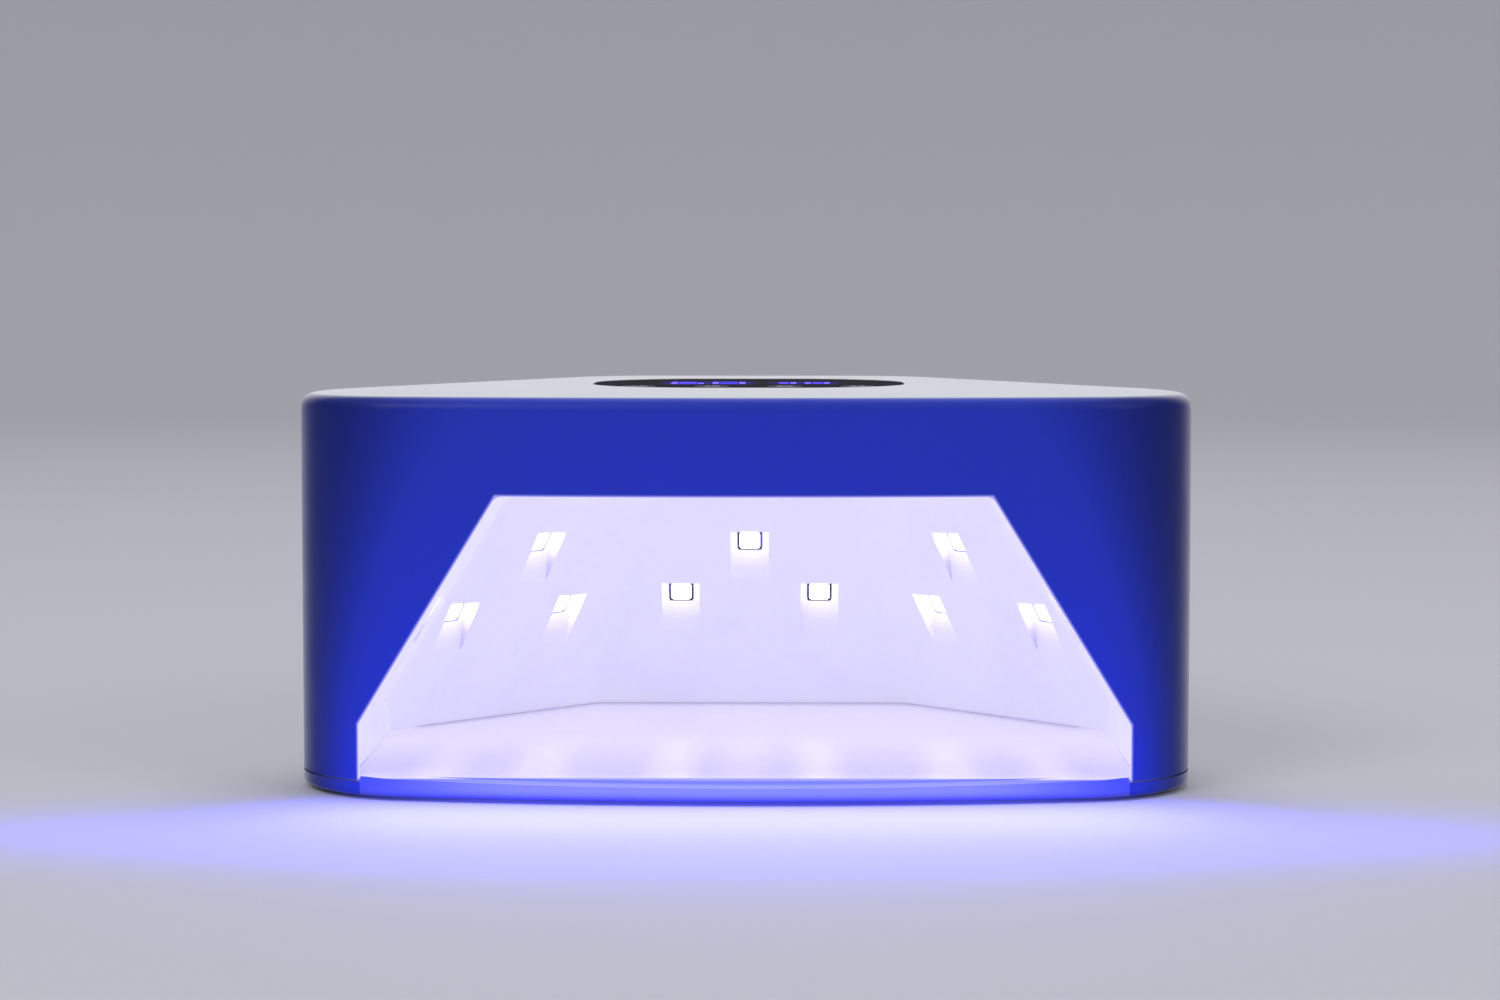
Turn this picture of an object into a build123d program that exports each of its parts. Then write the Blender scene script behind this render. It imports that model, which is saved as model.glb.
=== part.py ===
from build123d import *
import os
from math import acos, atan2, cos, degrees, radians, sin, tan

# Millimetres. X runs to the right, Y to the back and Z up, with the hand opening at the front.
# The origin is on the table, below the middle of the outline.

# Housing outline
width = 192.0
depth = 156.0
height = 85.0
bow_radius = 445.0
front_corner_radius = 28.0
diagonal_run = 86.0
back_half_width = 44.0
shoulder_round = 45.0
back_corner_radius = 25.0
shoulder_share = 0.9
back_lean = 8.0
top_edge_radius = 3.0
shell_wall = 2.4
parting_gap = 0.3

# Base
foot_gap = 0.8
flange_thickness = 3.0
floor_z = 5.0
floor_skin = 1.8
pan_clearance = 0.5
rim_width = 3.0
bottom_edge_radius = 1.3
rib_width = 1.4
rib_pitch = 30.0
rib_count = 5
rib_setback = 0.4
lip_inset = 8.0
lip_root = 1.0
foot_radius = 5.0
foot_thickness = 1.6
foot_ring = 1.2
foot_chamfer = 0.4
front_foot_inset = (18.0, 28.0)
back_foot_inset = (16.0, 12.0)
disc_radius = 3.0
disc_thickness = 1.0
fit = 0.05

# Hand chamber
chamber_lean = 31.5
chamber_side_space = 13.4
chamber_bevel = 5.4
opening_side_space = 14.7
chamber_back_space = 28.0
chamber_corner_inset = 6.0
chamber_shoulder_setback = 2.9
ceiling_space = 14.0
opening_drop = 6.6
opening_corner_radius = 2.5
opening_reach = 19.0
cut_start = 1.0
crease_radius = 8.0
liner_wall = 1.8
ceiling_wall = 1.5
seam_gap = 0.3
flange_wall = 1.8

# Housing screws and magnets
cup_height = 4.0
cup_radius = 4.2
cup_bore = 3.0
post_radius = 3.5
post_rib = 1.6
post_embed = 1.0
front_post_inset = (7.6, 36.0)
back_post_inset = 42.0
back_post_share = 0.39
housing_shank_radius = 1.4
housing_shank_length = 9.0
housing_head_radius = 2.7
housing_head_thickness = 1.9
housing_head_chamfer = 0.5
housing_slot = (2.6, 0.7)
housing_slot_depth = 0.9
magnet_thickness = 2.5
magnet_floor = 0.8
front_magnet_inset = (8.0, 58.0)
back_magnet_inset = (2.0, 18.0)

# LED pockets and packages
pocket_width = 9.0
pocket_depth = 2.8
pocket_wall = 1.2
pocket_head = 1.7
pocket_foot = 0.4
pocket_ramp_end = 9.4
pocket_overlap = 1.0
boss_overlap = 0.2
window_margin = 0.25
led_size = 5.6
led_base = 1.0
lens_inset = 0.4
lens_corner_radius = 0.8
led_corner_radius = 0.4
led_lens = 0.1
back_led_x = 16.6
back_led_climbs = (32.3, 47.5)
diagonal_led_near = (25.2, 30.4)
diagonal_led_middle = (41.3, 49.4)
diagonal_led_far = (59.6, 31.1)
side_led_setback = 36.5
side_led_climb = 38.1
ceiling_led_x = 20.0
ceiling_led_pitch = 30.0
ceiling_setback = 43.0
ceiling_board_margin = 8.5
ceiling_board_corner = 2.0
led_screw_offset = 9.5
led_board_margin = 6.4
led_board_edge = 4.7
led_board_corner = 1.5
screw_margin = 3.2

# Circuit boards
led_board_thickness = 1.2
board_thickness = 1.6
board_screw_radius = 0.9
board_head_radius = 1.8
board_head_thickness = 1.2
board_slot = (2.0, 0.5)
board_slot_depth = 0.5
board_screw_length = 4.5
led_screw_length = 4.0
ceiling_screw_length = 2.4
board_post_radius = 2.3
pilot_depth = 4.0
power_pilot_depth = 5.0
led_pilot_depth = 3.2
control_board_drop = 7.2
control_board_size = (84.0, 66.0)
control_board_corner = 3.0
control_board_shift = 5.0
chip_offset = (-20.0, 21.0)
buzzer_offset = (22.0, 21.0)
board_post_inset = 4.0
power_board_rise = 6.7
power_board_size = (60.0, 18.0)
power_board_corner = 2.0
power_board_inset = 15.5
capacitor_offset = (14.0, 1.5)
inductor_offset = (-23.0, 3.5)
driver_xs = (-17.5, 8.5, 17.5)
driver_shift = -5.5
socket_x = 24.0
low_socket_shift = 5.0
high_socket_shift = 24.0

# Control panel, buttons and display
panel_size = (72.0, 62.0)
panel_y = 12.0
panel_corner_radius = 26.0
panel_thickness = 1.3
panel_clearance = 0.15
panel_recess = 1.4
panel_floor = 1.0
button_row_drop = 18.0
button_pitch = 16.6
button_radius = 4.4
button_clearance = 0.25
button_sink = 0.1
button_flange = 1.0
button_flange_thickness = 0.8
button_crown = 0.4
stem_radius = 1.6
stem_length = 0.5
switch_size = 6.0
switch_height = 3.2
switch_bore_depth = 1.5
switch_corner = 0.5
plunger_sink = 0.8
plunger_radius = 1.7
display_rise = 3.0
display_size = (42.0, 18.0)
display_rim = 2.0
display_corner = 0.8
digit_size = (7.6, 12.0)
small_digit_size = (5.8, 9.0)
digit_gap = 2.0
segment_width = 1.4
segment_gap = 0.4
large_digits_x = -9.5
small_digits_x = 12.0

# Power inlet and parts on the boards
jack_size = (9.4, 12.0, 11.0)
jack_nose_radius = 4.2
jack_setback = 2.4
jack_bore_radius = 3.15
jack_bore_depth = 9.5
jack_pin_radius = 1.05
jack_pin_setback = 0.8
jack_pin_round = 0.5
inlet_clearance = 0.3
vent_width = 2.2
vent_height = 26.0
vent_pitch = 5.2
vent_count = 9
vent_z = 50.0
vent_reach = 18.0
capacitor_radius = 4.0
capacitor_height = 12.0
capacitor_round = 0.6
inductor_size = (8.0, 8.0, 5.0)
inductor_corner = 2.0
driver_size = (5.0, 5.0, 1.6)
chip_size = (10.0, 7.0, 1.8)
buzzer_radius = 6.0
buzzer_height = 4.5
buzzer_hole_radius = 1.0
buzzer_hole_depth = 1.5
socket_size = (9.0, 4.0, 4.6)
ribbon_width = 8.0
ribbon_thickness = 0.7
ribbon_bend = 3.0
ribbon_rise = 8.0
sensor_radius = 2.5
sensor_reach = 1.0
sensor_round = 0.9
sensor_pitch = 7.0

# Heights, from the table up
flange_top = foot_gap + flange_thickness
shell_bottom = flange_top + parting_gap
liner_bottom = floor_z + seam_gap
cup_top = liner_bottom + cup_height
screw_seat = liner_bottom + housing_head_thickness + parting_gap
power_board_z = liner_bottom + power_board_rise
power_top = power_board_z + board_thickness
jack_z = power_top + jack_size[2] / 2
ceiling_z = height - ceiling_space
ceiling_top = ceiling_z + ceiling_wall
opening_top = ceiling_z - opening_drop
panel_bottom = height - panel_recess
shell_inside_top = panel_bottom - panel_floor
control_board_z = shell_inside_top - control_board_drop
control_top = control_board_z + board_thickness
switch_top = control_top + switch_height
button_flange_top = shell_inside_top - parting_gap
stem_bottom = button_flange_top - button_flange_thickness - stem_length

# The shoulder's rounding stops short of the front corner's, at the top too, where the lean moves it.
half_width = width / 2
lean_angle = radians(back_lean)
diagonal_turn = atan2(half_width - back_half_width, diagonal_run)
shoulder_y = depth / 2 - diagonal_run
shoulder_turn = acos(cos(lean_angle) * cos(diagonal_turn))
shoulder_lean = atan2(tan(lean_angle), sin(diagonal_turn))
shoulder_top_y = shoulder_y - (height - shell_bottom) * tan(shoulder_lean)
front_turn = acos(half_width / bow_radius)
front_corner_y = bow_radius - depth / 2 - bow_radius * sin(front_turn)
front_corner_end = front_corner_y + front_corner_radius * tan(front_turn / 2)
shoulder_room = shoulder_share * (shoulder_top_y - front_corner_end)
shoulder_radius = min(shoulder_round, shoulder_room * cos(shoulder_lean) / tan(shoulder_turn / 2))

# The chamber inside the housing
lean_share = tan(radians(chamber_lean))
straight_front = -depth / 2 + lip_inset
chamber_band = width / 2 - chamber_side_space
chamber_half_width = chamber_band + chamber_bevel
chamber_back_half = back_half_width - chamber_corner_inset
chamber_back_y = depth / 2 - chamber_back_space
chamber_diagonal_y = shoulder_y + chamber_shoulder_setback
opening_half_width = width / 2 - opening_side_space
opening_bend = (chamber_half_width - opening_half_width) / lean_share
opening_top_half = chamber_half_width - (opening_top - floor_z) * lean_share
ceiling_y = -depth / 2 + ceiling_setback
side_led_y = -depth / 2 + side_led_setback
boss_top = pocket_depth + pocket_wall
pocket_top = led_size / 2 + pocket_head
pocket_low = led_size / 2 + pocket_foot
window_size = led_size + 2 * window_margin
lens_size = led_size - 2 * lens_inset

# The panel and the boards
button_row_y = panel_y - button_row_drop
display_y = panel_y + display_rise
control_board_y = panel_y + control_board_shift
power_board_y = depth / 2 - power_board_inset
jack_front = power_board_y + power_board_size[1] / 2
jack_nose_end = depth / 2 - jack_setback
button_times = [10, 30, 60, 99]
button_places = [(button_pitch * (order - 1.5), button_row_y) for order in range(len(button_times))]


def mirrored(*places):
    # Each place and its mirror image across the middle plane.
    return [(side * x, y) for x, y in places for side in (1, -1)]


def place_on(board_y, offset_from_middle):
    # A place on a board, counted from the board's middle.
    return offset_from_middle[0], board_y + offset_from_middle[1]


def save(part, label):
    part.label = label
    export_step(part, f"parts/{label}.step")


def housing_form(inset, level, top, lean=0.0):
    # The housing's form drawn in by inset: bowed front, upright sides, and a back that leans in.
    run = 2 * depth
    slope = (width / 2 - back_half_width) / (depth / 2 - shoulder_y)
    run_x = back_half_width + slope * (run + depth / 2)
    with BuildPart() as form:
        with BuildSketch(Plane.XY.offset(level)):
            Rectangle(width - 2 * inset, 2 * run)
            with Locations((0, bow_radius - depth / 2)):
                Circle(bow_radius - inset, mode=Mode.INTERSECT)
        extrude(amount=top - level)
        with BuildSketch(Plane.XY.offset(level)):
            with BuildLine():
                Polyline(
                    (-run_x, -run),
                    (run_x, -run),
                    (back_half_width, depth / 2),
                    (-back_half_width, depth / 2),
                    close=True,
                )
            make_face()
            if inset > 0:
                offset(amount=-inset, kind=Kind.INTERSECTION)
        extrude(amount=top - level, taper=lean, mode=Mode.INTERSECT)
        for first, last, radius in (
            (-2, None, back_corner_radius),
            (0, 2, front_corner_radius),
            (4, 6, shoulder_radius),
        ):
            upright = form.edges().filter_by(lambda edge: abs(edge.tangent_at(0.5).Z) > 0.7)
            fillet(upright.sort_by(Axis.Y)[first:last], radius - inset)
    return form.part


def chamber_form(grow, top):
    # The hand chamber's form, grown by grow: walls that lean in all round, upright near the floor.
    with BuildPart() as form:
        with BuildSketch(Plane.XY.offset(floor_z)):
            with BuildLine():
                Polyline(
                    (-chamber_half_width, -depth),
                    (chamber_half_width, -depth),
                    (chamber_half_width, chamber_diagonal_y),
                    (chamber_back_half, chamber_back_y),
                    (-chamber_back_half, chamber_back_y),
                    (-chamber_half_width, chamber_diagonal_y),
                    close=True,
                )
            make_face()
            if grow > 0:
                offset(amount=grow, kind=Kind.INTERSECTION)
        extrude(amount=top - floor_z, taper=chamber_lean)
        creases = form.edges().filter_by(lambda edge: abs(edge.tangent_at(0.5).Z) > 0.3)
        fillet(creases.sort_by(Axis.Y)[2:], crease_radius + grow)
        with BuildSketch(Plane.XY.offset(floor_z)):
            Rectangle(2 * (chamber_band + grow), 2 * depth)
        extrude(amount=top - floor_z, mode=Mode.INTERSECT)
    return form.part


def wall_frame(x, y, heading):
    # A frame on a chamber wall's inner face: x runs along it, y climbs it and z leaves the chamber.
    turn = radians(heading)
    lean = radians(chamber_lean)
    outward = (cos(lean) * cos(turn), cos(lean) * sin(turn), sin(lean))
    return Plane(origin=(x, y, floor_z), x_dir=(-sin(turn), cos(turn), 0), z_dir=outward)


def pocket_form(frame, place, grow, start):
    # An LED pocket's form on a wall: a flat seat at the top and a ramp out below it.
    x, climb = place
    half = pocket_width / 2 + grow
    ramp = (pocket_ramp_end - pocket_low) / pocket_depth
    low = -pocket_ramp_end - grow + ramp * start
    profile = Plane(
        origin=frame.from_local_coords((x - half, climb, 0)),
        x_dir=frame.y_dir,
        z_dir=frame.x_dir,
    )
    with BuildPart() as form:
        with BuildSketch(profile):
            with BuildLine():
                Polyline(
                    (pocket_top + grow, start),
                    (pocket_top + grow, pocket_depth + grow),
                    (-pocket_low - grow / 2, pocket_depth + grow),
                    (low, start),
                    close=True,
                )
            make_face()
        extrude(amount=2 * half)
    return form.part


diagonal_heading = degrees(
    atan2(chamber_half_width - chamber_back_half, chamber_back_y - chamber_diagonal_y)
)
diagonal_leds = [diagonal_led_near, diagonal_led_middle, diagonal_led_far]


def beside(led):
    # The two screws of an LED board, one on each side of an LED.
    return [(led[0] - led_screw_offset, led[1]), (led[0] + led_screw_offset, led[1])]


def board_extent(leds, screws):
    # The middle and the size of the board that holds these LEDs and screws.
    reach = [(x, climb, led_board_margin) for x, climb in leds]
    reach += [(x, climb, screw_margin) for x, climb in screws]
    low_x = min(x - margin for x, climb, margin in reach)
    high_x = max(x + margin for x, climb, margin in reach)
    low_climb = min(climb for x, climb, margin in reach) - led_board_edge
    high_climb = max(climb for x, climb, margin in reach) + led_board_edge
    middle = ((low_x + high_x) / 2, (low_climb + high_climb) / 2)
    return middle, (high_x - low_x, high_climb - low_climb)


# Each lit wall: its frame, the LEDs on it and its board's screws.
back_leds_places = [
    (0, back_led_climbs[1]),
    (-back_led_x, back_led_climbs[0]),
    (back_led_x, back_led_climbs[0]),
]
right_diagonal_leds = [(-x, climb) for x, climb in diagonal_leds]
right_side_led = (side_led_y, side_led_climb)
left_side_led = (-side_led_y, side_led_climb)
lit_walls = {
    "back": (
        wall_frame(0, chamber_back_y, 90),
        back_leds_places,
        beside(back_leds_places[0]),
    ),
    "right": (
        wall_frame(chamber_back_half, chamber_back_y, diagonal_heading),
        right_diagonal_leds,
        beside(right_diagonal_leds[1]),
    ),
    "left": (
        wall_frame(-chamber_back_half, chamber_back_y, 180 - diagonal_heading),
        diagonal_leds,
        beside(diagonal_leds[1]),
    ),
    "right_side": (
        wall_frame(chamber_half_width, 0, 0),
        [right_side_led],
        beside(right_side_led),
    ),
    "left_side": (
        wall_frame(-chamber_half_width, 0, 180),
        [left_side_led],
        beside(left_side_led),
    ),
}
ceiling_places = [
    (side * ceiling_led_x, ceiling_y + step * ceiling_led_pitch / 2)
    for side in (1, -1)
    for step in (1, -1)
]
ceiling_board_size = (
    2 * ceiling_led_x + 2 * ceiling_board_margin,
    ceiling_led_pitch + 2 * ceiling_board_margin,
)
ceiling_screw_step = ceiling_board_size[1] / 2 - board_post_inset
ceiling_screws = [(0, ceiling_y + ceiling_screw_step), (0, ceiling_y - ceiling_screw_step)]
sensor_places = [(-sensor_pitch / 2, ceiling_y), (sensor_pitch / 2, ceiling_y)]

os.makedirs("parts", exist_ok=True)

feet_places = mirrored(
    (width / 2 - front_foot_inset[0], -depth / 2 + front_foot_inset[1]),
    (back_half_width - back_foot_inset[0], depth / 2 - back_foot_inset[1]),
)
power_front = power_board_y - power_board_size[1] / 2
power_posts = mirrored((power_board_size[0] / 2 - board_post_inset, power_front + board_post_inset))
magnet_places = mirrored(
    (width / 2 - front_magnet_inset[0], -depth / 2 + front_magnet_inset[1]),
    (back_half_width - back_magnet_inset[0], depth / 2 - back_magnet_inset[1]),
)
front_post = (width / 2 - front_post_inset[0], -depth / 2 + front_post_inset[1])
back_post_y = depth / 2 - back_post_inset
# The back posts stand between the chamber's diagonal wall and the housing's.
chamber_slope = (chamber_half_width - chamber_back_half) / (chamber_back_y - chamber_diagonal_y)
chamber_wall_x = chamber_back_half + chamber_slope * (chamber_back_y - back_post_y)
housing_slope = (half_width - back_half_width) / diagonal_run
housing_wall_x = back_half_width + housing_slope * back_post_inset
back_post_x = chamber_wall_x + back_post_share * (housing_wall_x - chamber_wall_x)
post_places = mirrored(front_post, (back_post_x, back_post_y))
outer_form = housing_form(0, shell_bottom, height, back_lean)
hollow_form = housing_form(shell_wall, shell_bottom, shell_inside_top, back_lean)
liner_limit = housing_form(shell_wall + seam_gap, shell_bottom, shell_inside_top, back_lean)
flange_form = housing_form(0, foot_gap, flange_top)
pan_form = housing_form(shell_wall + pan_clearance, foot_gap, floor_z)
tray_form = housing_form(shell_wall + pan_clearance + rim_width, foot_gap, floor_z - floor_skin)
lip_form = housing_form(0, foot_gap, floor_z)

# The lip fills the opening and slopes down from the chamber floor's straight front edge.
lip_half_width = opening_half_width - pan_clearance
with BuildPart() as lip:
    with BuildSketch(Plane.YZ.offset(-lip_half_width)):
        with BuildLine():
            Polyline(
                (straight_front + lip_inset, flange_top - lip_root),
                (straight_front + lip_inset, floor_z),
                (straight_front, floor_z),
                (-depth / 2, flange_top),
                (-depth / 2, flange_top - lip_root),
                close=True,
            )
        make_face()
    extrude(amount=2 * lip_half_width)
    add(lip_form, mode=Mode.INTERSECT)

# Ribs under the tray, with rings round the feet and the steel discs
with BuildPart() as ribs:
    with BuildSketch(Plane.XY.offset(foot_gap + rib_setback)):
        for order in range(rib_count):
            step = rib_pitch * (order - (rib_count - 1) / 2)
            with Locations((step, 0)):
                Rectangle(rib_width, depth)
            with Locations((0, step)):
                Rectangle(width, rib_width)
    extrude(amount=floor_z - floor_skin - foot_gap)
    with BuildSketch(Plane.XY.offset(foot_gap)):
        with Locations(*feet_places):
            Circle(foot_radius + foot_ring)
        with Locations(*magnet_places):
            Circle(disc_radius + foot_ring)
    extrude(amount=floor_z - floor_skin - foot_gap)
    add(pan_form, mode=Mode.INTERSECT)

# The base is a shallow tray that the housing stands on.
with BuildPart() as base_plate:
    add(flange_form)
    fillet(base_plate.faces().sort_by(Axis.Z)[0].edges(), bottom_edge_radius)
    add(pan_form)
    add(lip.part)
    add(tray_form, mode=Mode.SUBTRACT)
    add(ribs.part)
    with BuildSketch(Plane.XY.offset(0)):
        with Locations(*feet_places):
            Circle(foot_radius + fit)
    extrude(amount=foot_thickness, mode=Mode.SUBTRACT)
    with BuildSketch(Plane.XY.offset(0)):
        with Locations(*magnet_places):
            Circle(disc_radius + fit)
    extrude(amount=floor_z - floor_skin + disc_thickness, mode=Mode.SUBTRACT)
save(base_plate.part, "base_plate")

with BuildPart() as rubber_feet:
    with BuildSketch():
        with Locations(*feet_places):
            Circle(foot_radius)
    extrude(amount=foot_thickness)
    chamfer(rubber_feet.faces().sort_by(Axis.Z)[: len(feet_places)].edges(), foot_chamfer)
save(rubber_feet.part, "rubber_feet")

with BuildPart() as steel_discs:
    with BuildSketch(Plane.XY.offset(floor_z - floor_skin)):
        with Locations(*magnet_places):
            Circle(disc_radius)
    extrude(amount=disc_thickness)
save(steel_discs.part, "steel_discs")

# Posts hang from the shell's top: four for the housing screws and four for the control board.
board_post_x = control_board_size[0] / 2 - board_post_inset
board_post_step = control_board_size[1] / 2 - board_post_inset
board_posts = mirrored(
    (board_post_x, control_board_y - board_post_step),
    (board_post_x, control_board_y + board_post_step),
)
with BuildPart() as posts:
    with BuildSketch(Plane.XY.offset(cup_top)):
        with Locations(*post_places):
            Circle(post_radius)
        for side in (1, -1):
            with Locations((side * (front_post[0] + post_radius), front_post[1])):
                Rectangle(2 * post_radius, post_rib)
    extrude(amount=shell_inside_top + post_embed / 2 - cup_top)
    with BuildSketch(Plane.XY.offset(control_top)):
        with Locations(*board_posts):
            Circle(board_post_radius)
    extrude(amount=shell_inside_top + post_embed / 2 - control_top)
    add(housing_form(post_embed, shell_bottom, height, back_lean), mode=Mode.INTERSECT)

opening_points = [
    (-opening_half_width, 0),
    (opening_half_width, 0),
    (opening_half_width, floor_z + opening_bend),
    (opening_top_half, opening_top),
    (-opening_top_half, opening_top),
    (-opening_half_width, floor_z + opening_bend),
]
with BuildPart() as outer_shell:
    add(outer_form)
    fillet(outer_shell.faces().sort_by(Axis.Z)[-1].edges(), top_edge_radius)
    add(hollow_form, mode=Mode.SUBTRACT)
    add(posts.part)
    # The hand opening
    with BuildSketch(Plane.XZ.offset(depth / 2 + cut_start)) as opening:
        with BuildLine():
            Polyline(*opening_points, close=True)
        make_face()
        fillet(opening.vertices().group_by(Axis.Y)[1:], opening_corner_radius)
    extrude(amount=-opening_reach, mode=Mode.SUBTRACT)
    # The panel's recess, the holes for its buttons and the display's window
    with BuildSketch(Plane.XY.offset(panel_bottom)):
        with Locations((0, panel_y)):
            RectangleRounded(*panel_size, panel_corner_radius)
    extrude(amount=panel_recess, mode=Mode.SUBTRACT)
    with BuildSketch(Plane.XY.offset(panel_bottom)):
        with Locations(*button_places):
            Circle(button_radius + button_clearance)
        with Locations((0, display_y)):
            Rectangle(display_size[0] - 2 * display_rim, display_size[1] - 2 * display_rim)
    extrude(amount=-2 * panel_floor, mode=Mode.SUBTRACT)
    # Pilot holes up the posts
    with BuildSketch(Plane.XY.offset(cup_top)):
        with Locations(*post_places):
            Circle(housing_shank_radius + fit)
    extrude(amount=housing_shank_length, mode=Mode.SUBTRACT)
    with BuildSketch(Plane.XY.offset(control_top)):
        with Locations(*board_posts):
            Circle(board_screw_radius + fit)
    extrude(amount=pilot_depth, mode=Mode.SUBTRACT)
    # Vents and the power inlet in the back wall
    with BuildSketch(Plane.XZ.offset(-depth / 2 - cut_start)):
        for order in range(vent_count):
            with Locations((vent_pitch * (order - (vent_count - 1) / 2), vent_z)):
                SlotOverall(vent_height, vent_width, rotation=90)
        with Locations((0, jack_z)):
            Circle(jack_nose_radius + inlet_clearance)
    extrude(amount=vent_reach, mode=Mode.SUBTRACT)
save(outer_shell.part, "outer_shell")

with BuildPart() as chamber_liner:
    add(chamber_form(liner_wall, ceiling_top))
    # The flange that closes the housing's underside, with cups for screws and magnets
    with BuildSketch(Plane.XY.offset(liner_bottom)):
        Rectangle(2 * width, 2 * depth)
    extrude(amount=flange_wall)
    with BuildSketch(Plane.XY.offset(liner_bottom)):
        with Locations(*post_places, *magnet_places):
            Circle(cup_radius)
    extrude(amount=cup_height)
    with BuildSketch(Plane.XY.offset(liner_bottom)):
        with Locations(*power_posts):
            Circle(board_post_radius)
    extrude(amount=power_board_z - liner_bottom)
    for frame, leds, screws in lit_walls.values():
        for led in leds:
            add(pocket_form(frame, led, pocket_wall, boss_overlap))
        with BuildSketch(frame):
            with Locations(*screws):
                Circle(board_post_radius)
        extrude(amount=boss_top)
    add(liner_limit, mode=Mode.INTERSECT)
    with BuildSketch(Plane.XY.offset(floor_z)):
        Rectangle(2 * width, 2 * depth)
    extrude(amount=seam_gap, mode=Mode.SUBTRACT)
    add(chamber_form(0, ceiling_z), mode=Mode.SUBTRACT)
    # Pockets, LED windows and pilot holes
    for frame, leds, screws in lit_walls.values():
        for led in leds:
            add(pocket_form(frame, led, 0, -pocket_overlap), mode=Mode.SUBTRACT)
        with BuildSketch(frame.offset(pocket_depth - boss_overlap)):
            with Locations(*leds):
                Rectangle(window_size, window_size)
        extrude(amount=2 * pocket_wall, mode=Mode.SUBTRACT)
        with BuildSketch(frame.offset(boss_top)):
            with Locations(*screws):
                Circle(board_screw_radius + fit)
        extrude(amount=-led_pilot_depth, mode=Mode.SUBTRACT)
    with BuildSketch(Plane.XY.offset(ceiling_z)):
        with Locations(*ceiling_places):
            Rectangle(window_size, window_size)
        with Locations(*ceiling_screws):
            Circle(board_screw_radius + fit)
        with Locations(*sensor_places):
            Circle(sensor_radius + fit)
    extrude(amount=2 * ceiling_wall, both=True, mode=Mode.SUBTRACT)
    with BuildSketch(Plane.XY.offset(liner_bottom)):
        with Locations(*post_places):
            Circle(cup_bore)
    extrude(amount=housing_head_thickness + parting_gap, mode=Mode.SUBTRACT)
    with BuildSketch(Plane.XY.offset(liner_bottom)):
        with Locations(*post_places):
            Circle(housing_shank_radius + fit)
    extrude(amount=cup_height, mode=Mode.SUBTRACT)
    with BuildSketch(Plane.XY.offset(liner_bottom + magnet_floor)):
        with Locations(*magnet_places):
            Circle(disc_radius + fit)
    extrude(amount=cup_height, mode=Mode.SUBTRACT)
    with BuildSketch(Plane.XY.offset(power_board_z)):
        with Locations(*power_posts):
            Circle(board_screw_radius + fit)
    extrude(amount=-power_pilot_depth, mode=Mode.SUBTRACT)
save(chamber_liner.part, "chamber_liner")

with BuildPart() as housing_magnets:
    with BuildSketch(Plane.XY.offset(liner_bottom + magnet_floor)):
        with Locations(*magnet_places):
            Circle(disc_radius)
    extrude(amount=magnet_thickness)
save(housing_magnets.part, "housing_magnets")

with BuildPart() as housing_screws:
    with BuildSketch(Plane.XY.offset(screw_seat)):
        with Locations(*post_places):
            Circle(housing_head_radius)
    extrude(amount=-housing_head_thickness)
    chamfer(housing_screws.faces().sort_by(Axis.Z)[: len(post_places)].edges(), housing_head_chamfer)
    with BuildSketch(Plane.XY.offset(screw_seat)):
        with Locations(*post_places):
            Circle(housing_shank_radius)
    extrude(amount=housing_shank_length)
    with BuildSketch(Plane.XY.offset(screw_seat - housing_head_thickness)):
        with Locations(*post_places):
            Rectangle(housing_slot[0], housing_slot[1])
            Rectangle(housing_slot[1], housing_slot[0])
    extrude(amount=housing_slot_depth, mode=Mode.SUBTRACT)
save(housing_screws.part, "housing_screws")

# LED boards and the LEDs on them, wall by wall
for wall, (frame, leds, screws) in lit_walls.items():
    middle, size = board_extent(leds, screws)
    with BuildPart() as led_board:
        with BuildSketch(frame.offset(boss_top)):
            with Locations(middle):
                RectangleRounded(*size, led_board_corner)
            with Locations(*screws):
                Circle(board_screw_radius + fit, mode=Mode.SUBTRACT)
        extrude(amount=led_board_thickness)
    save(led_board.part, f"{wall}_led_board")
    with BuildPart() as led_group:
        with BuildSketch(frame.offset(boss_top)):
            with Locations(*leds):
                RectangleRounded(led_size, led_size, led_corner_radius)
        extrude(amount=-led_base)
        with BuildSketch(frame.offset(boss_top - led_base)):
            with Locations(*leds):
                RectangleRounded(lens_size, lens_size, lens_corner_radius)
        extrude(amount=-led_lens)
    save(led_group.part, f"{wall}_leds")

with BuildPart() as ceiling_led_board:
    with BuildSketch(Plane.XY.offset(ceiling_top)):
        with Locations((0, ceiling_y)):
            RectangleRounded(*ceiling_board_size, ceiling_board_corner)
        with Locations(*ceiling_screws):
            Circle(board_screw_radius + fit, mode=Mode.SUBTRACT)
    extrude(amount=led_board_thickness)
save(ceiling_led_board.part, "ceiling_led_board")

with BuildPart() as ceiling_leds:
    with BuildSketch(Plane.XY.offset(ceiling_top)):
        with Locations(*ceiling_places):
            RectangleRounded(led_size, led_size, led_corner_radius)
    extrude(amount=-led_base)
    with BuildSketch(Plane.XY.offset(ceiling_top - led_base)):
        with Locations(*ceiling_places):
            RectangleRounded(lens_size, lens_size, lens_corner_radius)
    extrude(amount=-led_lens)
save(ceiling_leds.part, "ceiling_leds")

with BuildPart() as hand_sensor:
    with BuildSketch(Plane.XY.offset(ceiling_top)):
        with Locations(*sensor_places):
            Circle(sensor_radius)
    extrude(amount=-ceiling_wall - sensor_reach)
    fillet(hand_sensor.faces().sort_by(Axis.Z)[: len(sensor_places)].edges(), sensor_round)
save(hand_sensor.part, "hand_sensor")


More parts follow.
